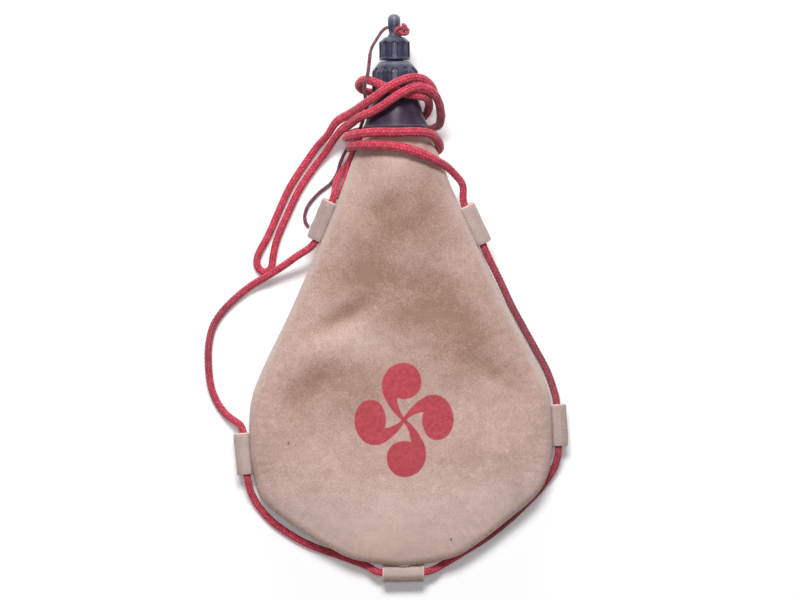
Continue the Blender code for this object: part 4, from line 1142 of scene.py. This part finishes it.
flangeTop = insert["sleeveLength"] + insert["flange"]
insertProfile = (
    (insert["bore"], 0), (insert["sleeve"] - insert["taper"], 0), (insert["sleeve"], insert["barb"]),
    (insert["sleeve"] - insert["taper"], insert["barb"] + 0.1), (insert["sleeve"], 2 * insert["barb"]),
    (insert["sleeve"], insert["sleeveLength"]), (insert["flangeRadius"], insert["sleeveLength"]),
    (insert["flangeRadius"], flangeTop), (insert["radius"], flangeTop),
    (insert["radius"], insert["height"]), (insert["bore"], insert["height"]),
)
insertPiece = turnedPiece("neck_spout", "neck_insert", insertProfile, plastic, insert,
                          threaded(insert, insert["height"]))


def ceilingOver(washer, cap):
    # How high a cap is hollow: a little past the top of its washer
    return (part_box(washer)[1][1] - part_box(cap)[0][1]) / mm + washerSink


fillerCeiling = ceilingOver("filler_gasket", "filler_cap")
fillerProfile = (
    (filler["bore"], 0), (filler["radius"], 0), (filler["radius"], filler["skirt"]),
    (filler["topRadius"] + filler["topStep"], filler["height"] - filler["topStep"]),
    (filler["topRadius"], filler["height"]),
    (filler["passage"], filler["height"]), (filler["passage"], fillerCeiling),
    (filler["bore"], fillerCeiling),
)
fillerPiece = turnedPiece("filler_screw_cap", "filler_cap", fillerProfile, plastic, filler,
                          fluted(filler))

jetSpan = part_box("jet_nozzle")
jetLength = (jetSpan[1][1] - jetSpan[0][1]) / mm
jetShoulder = jetLength - jet["tip"]
jetProfile = (
    (jet["bore"], 0), (jet["flange"], 0), (jet["flange"], jet["flangeWall"]),
    (jet["radius"], jet["flangeWall"]), (jet["radius"], jetShoulder), (jet["tipRadius"], jetLength),
    (jet["hole"], jetLength), (jet["hole"], jetShoulder), (jet["bore"], jetShoulder - jet["cone"]),
)
jetPiece = turnedPiece("drinking_jet", "jet_nozzle", jetProfile, plastic, jet,
                       threaded(jet, jetShoulder))

stopperCeiling = ceilingOver("stopper_seal", "stopper_cap")
knobFoot = stopper["height"] + stopper["stemLength"]
knobTop = knobFoot + stopper["knobLength"]
dome = [
    (stopper["knob"] - stopper["knobDome"] * (1 - math.cos(a)),
     knobTop - stopper["knobDome"] * (1 - math.sin(a)))
    for a in np.radians(np.linspace(0, 70, 6))
]
stopperProfile = (
    (0, stopperCeiling), (stopper["bore"], stopperCeiling), (stopper["bore"], 0), (stopper["radius"], 0),
    (stopper["radius"], stopper["skirt"]), (stopper["topRadius"], stopper["height"]),
    (stopper["stemFoot"], stopper["height"] + capStep),
    (stopper["stem"], stopper["height"] + stopper["stemRise"]),
    (stopper["stem"], knobFoot - stopper["stemEase"]), (stopper["knobFoot"], knobFoot),
    (stopper["knob"], knobFoot + stopper["knobSwell"]), *dome, (stopper["knobTip"], knobTop),
    (0, knobTop),
)
stopperPiece = turnedPiece("stopper_screw_cap", "stopper_cap", stopperProfile, plastic, stopper,
                           fluted(stopper))


def crossHole(piece, place, radius, reach):
    # The hole across the knob that the tether runs through
    turn = np.linspace(0, 2 * np.pi, 40, endpoint=False)
    rings = [
        np.column_stack([side + 0 * turn, place + radius * np.cos(turn), axisZ + radius * np.sin(turn)])
        for side in (-reach, reach)
    ]
    drill = meshPiece("drill", np.array(rings), [], capped=True)
    drill.data.shade_flat()
    cut = piece.modifiers.new("hole", "BOOLEAN")
    cut.object = drill
    cut.solver = "EXACT"
    graph = bpy.context.evaluated_depsgraph_get()
    drilled = bpy.data.meshes.new_from_object(piece.evaluated_get(graph))
    piece.modifiers.clear()
    piece.data = drilled
    bpy.data.objects.remove(drill, do_unlink=True)


crossHole(stopperPiece, tetherInKnob[1][1], stopper["knobHole"], stopper["knob"] + 1)
for piece, node in ((collarPiece, "collar"), (insertPiece, "neck_insert"), (fillerPiece, "filler_cap"),
                    (jetPiece, "jet_nozzle"), (stopperPiece, "stopper_cap")):
    for body in body_of(frame["nodes"][node]) or []:
        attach(piece, body)
for node in ("filler_gasket", "stopper_seal"):
    frame["nodes"][node].material_slots[0].material = rubberFinish
print("nozzle")

# Floor and light
floorReach = 3
corners = [(x * floorReach, y * floorReach, 0) for x, y in ((-1, -1), (1, -1), (1, 1), (-1, 1))]
floorMesh = bpy.data.meshes.new("floor")
floorMesh.from_pydata(corners, [], [(0, 1, 2, 3)])
floor = bpy.data.objects.new("floor", floorMesh)
scene.collection.objects.link(floor)
floorFinish, floorTree, floorShader = newMaterial("matteWhitePaper", 1.0, 0.0)
# Seen directly or mirrored, the paper is white; its shade from the lamps keeps the shadow
rays = addNode(floorTree, "LightPath").outputs
seen = rays["Is Camera Ray"]
for other in ("Is Glossy Ray", "Is Transmission Ray"):
    seen = addNode(floorTree, "Math MAXIMUM", {0: seen, 1: rays[other]})
glow = addNode(floorTree, "Math MULTIPLY", {0: seen, 1: 0.1})
fillNode(floorTree, floorShader, {
    "Base Color": "#FCFDFE", "Emission Color": "#FFFFFF", "Emission Strength": glow
})
floorMesh.materials.append(floorFinish)

# Each softbox's power, size and place
studio = {
    "key": (65, (1.1, 0.6), (-0.1, 1.45, 2.35)), "fill": (7, (1.3, 0.6), (-0.1, 1.9, 0.6)),
    "top": (11, (0.5, 0.5), (0, 0.15, 3.2)),
}
ambient = 0.14
scene.world = bpy.data.worlds.new("softWhiteRoom")
scene.world.use_nodes = True
worldTree = scene.world.node_tree
sight = addNode(worldTree, "LightPath").outputs["Is Camera Ray"]
worldLevel = addNode(worldTree, "MapRange", {"Value": sight, "To": (ambient, 1)})
fillNode(worldTree, worldTree.nodes["Background"], {"Color": "#FFFFFF", "Strength": worldLevel})
for part, (power, size, place) in studio.items():
    lampData = bpy.data.lights.new(part + "Softbox", "AREA")
    lampData.shape = "RECTANGLE"
    lampData.size, lampData.size_y = size
    lampData.energy = power
    lamp = bpy.data.objects.new(part + "Softbox", lampData)
    lamp.location = place
    lamp.rotation_euler = Vector(place).to_track_quat("Z", "Y").to_euler()
    scene.collection.objects.link(lamp)
scene.view_settings.view_transform = "Standard"
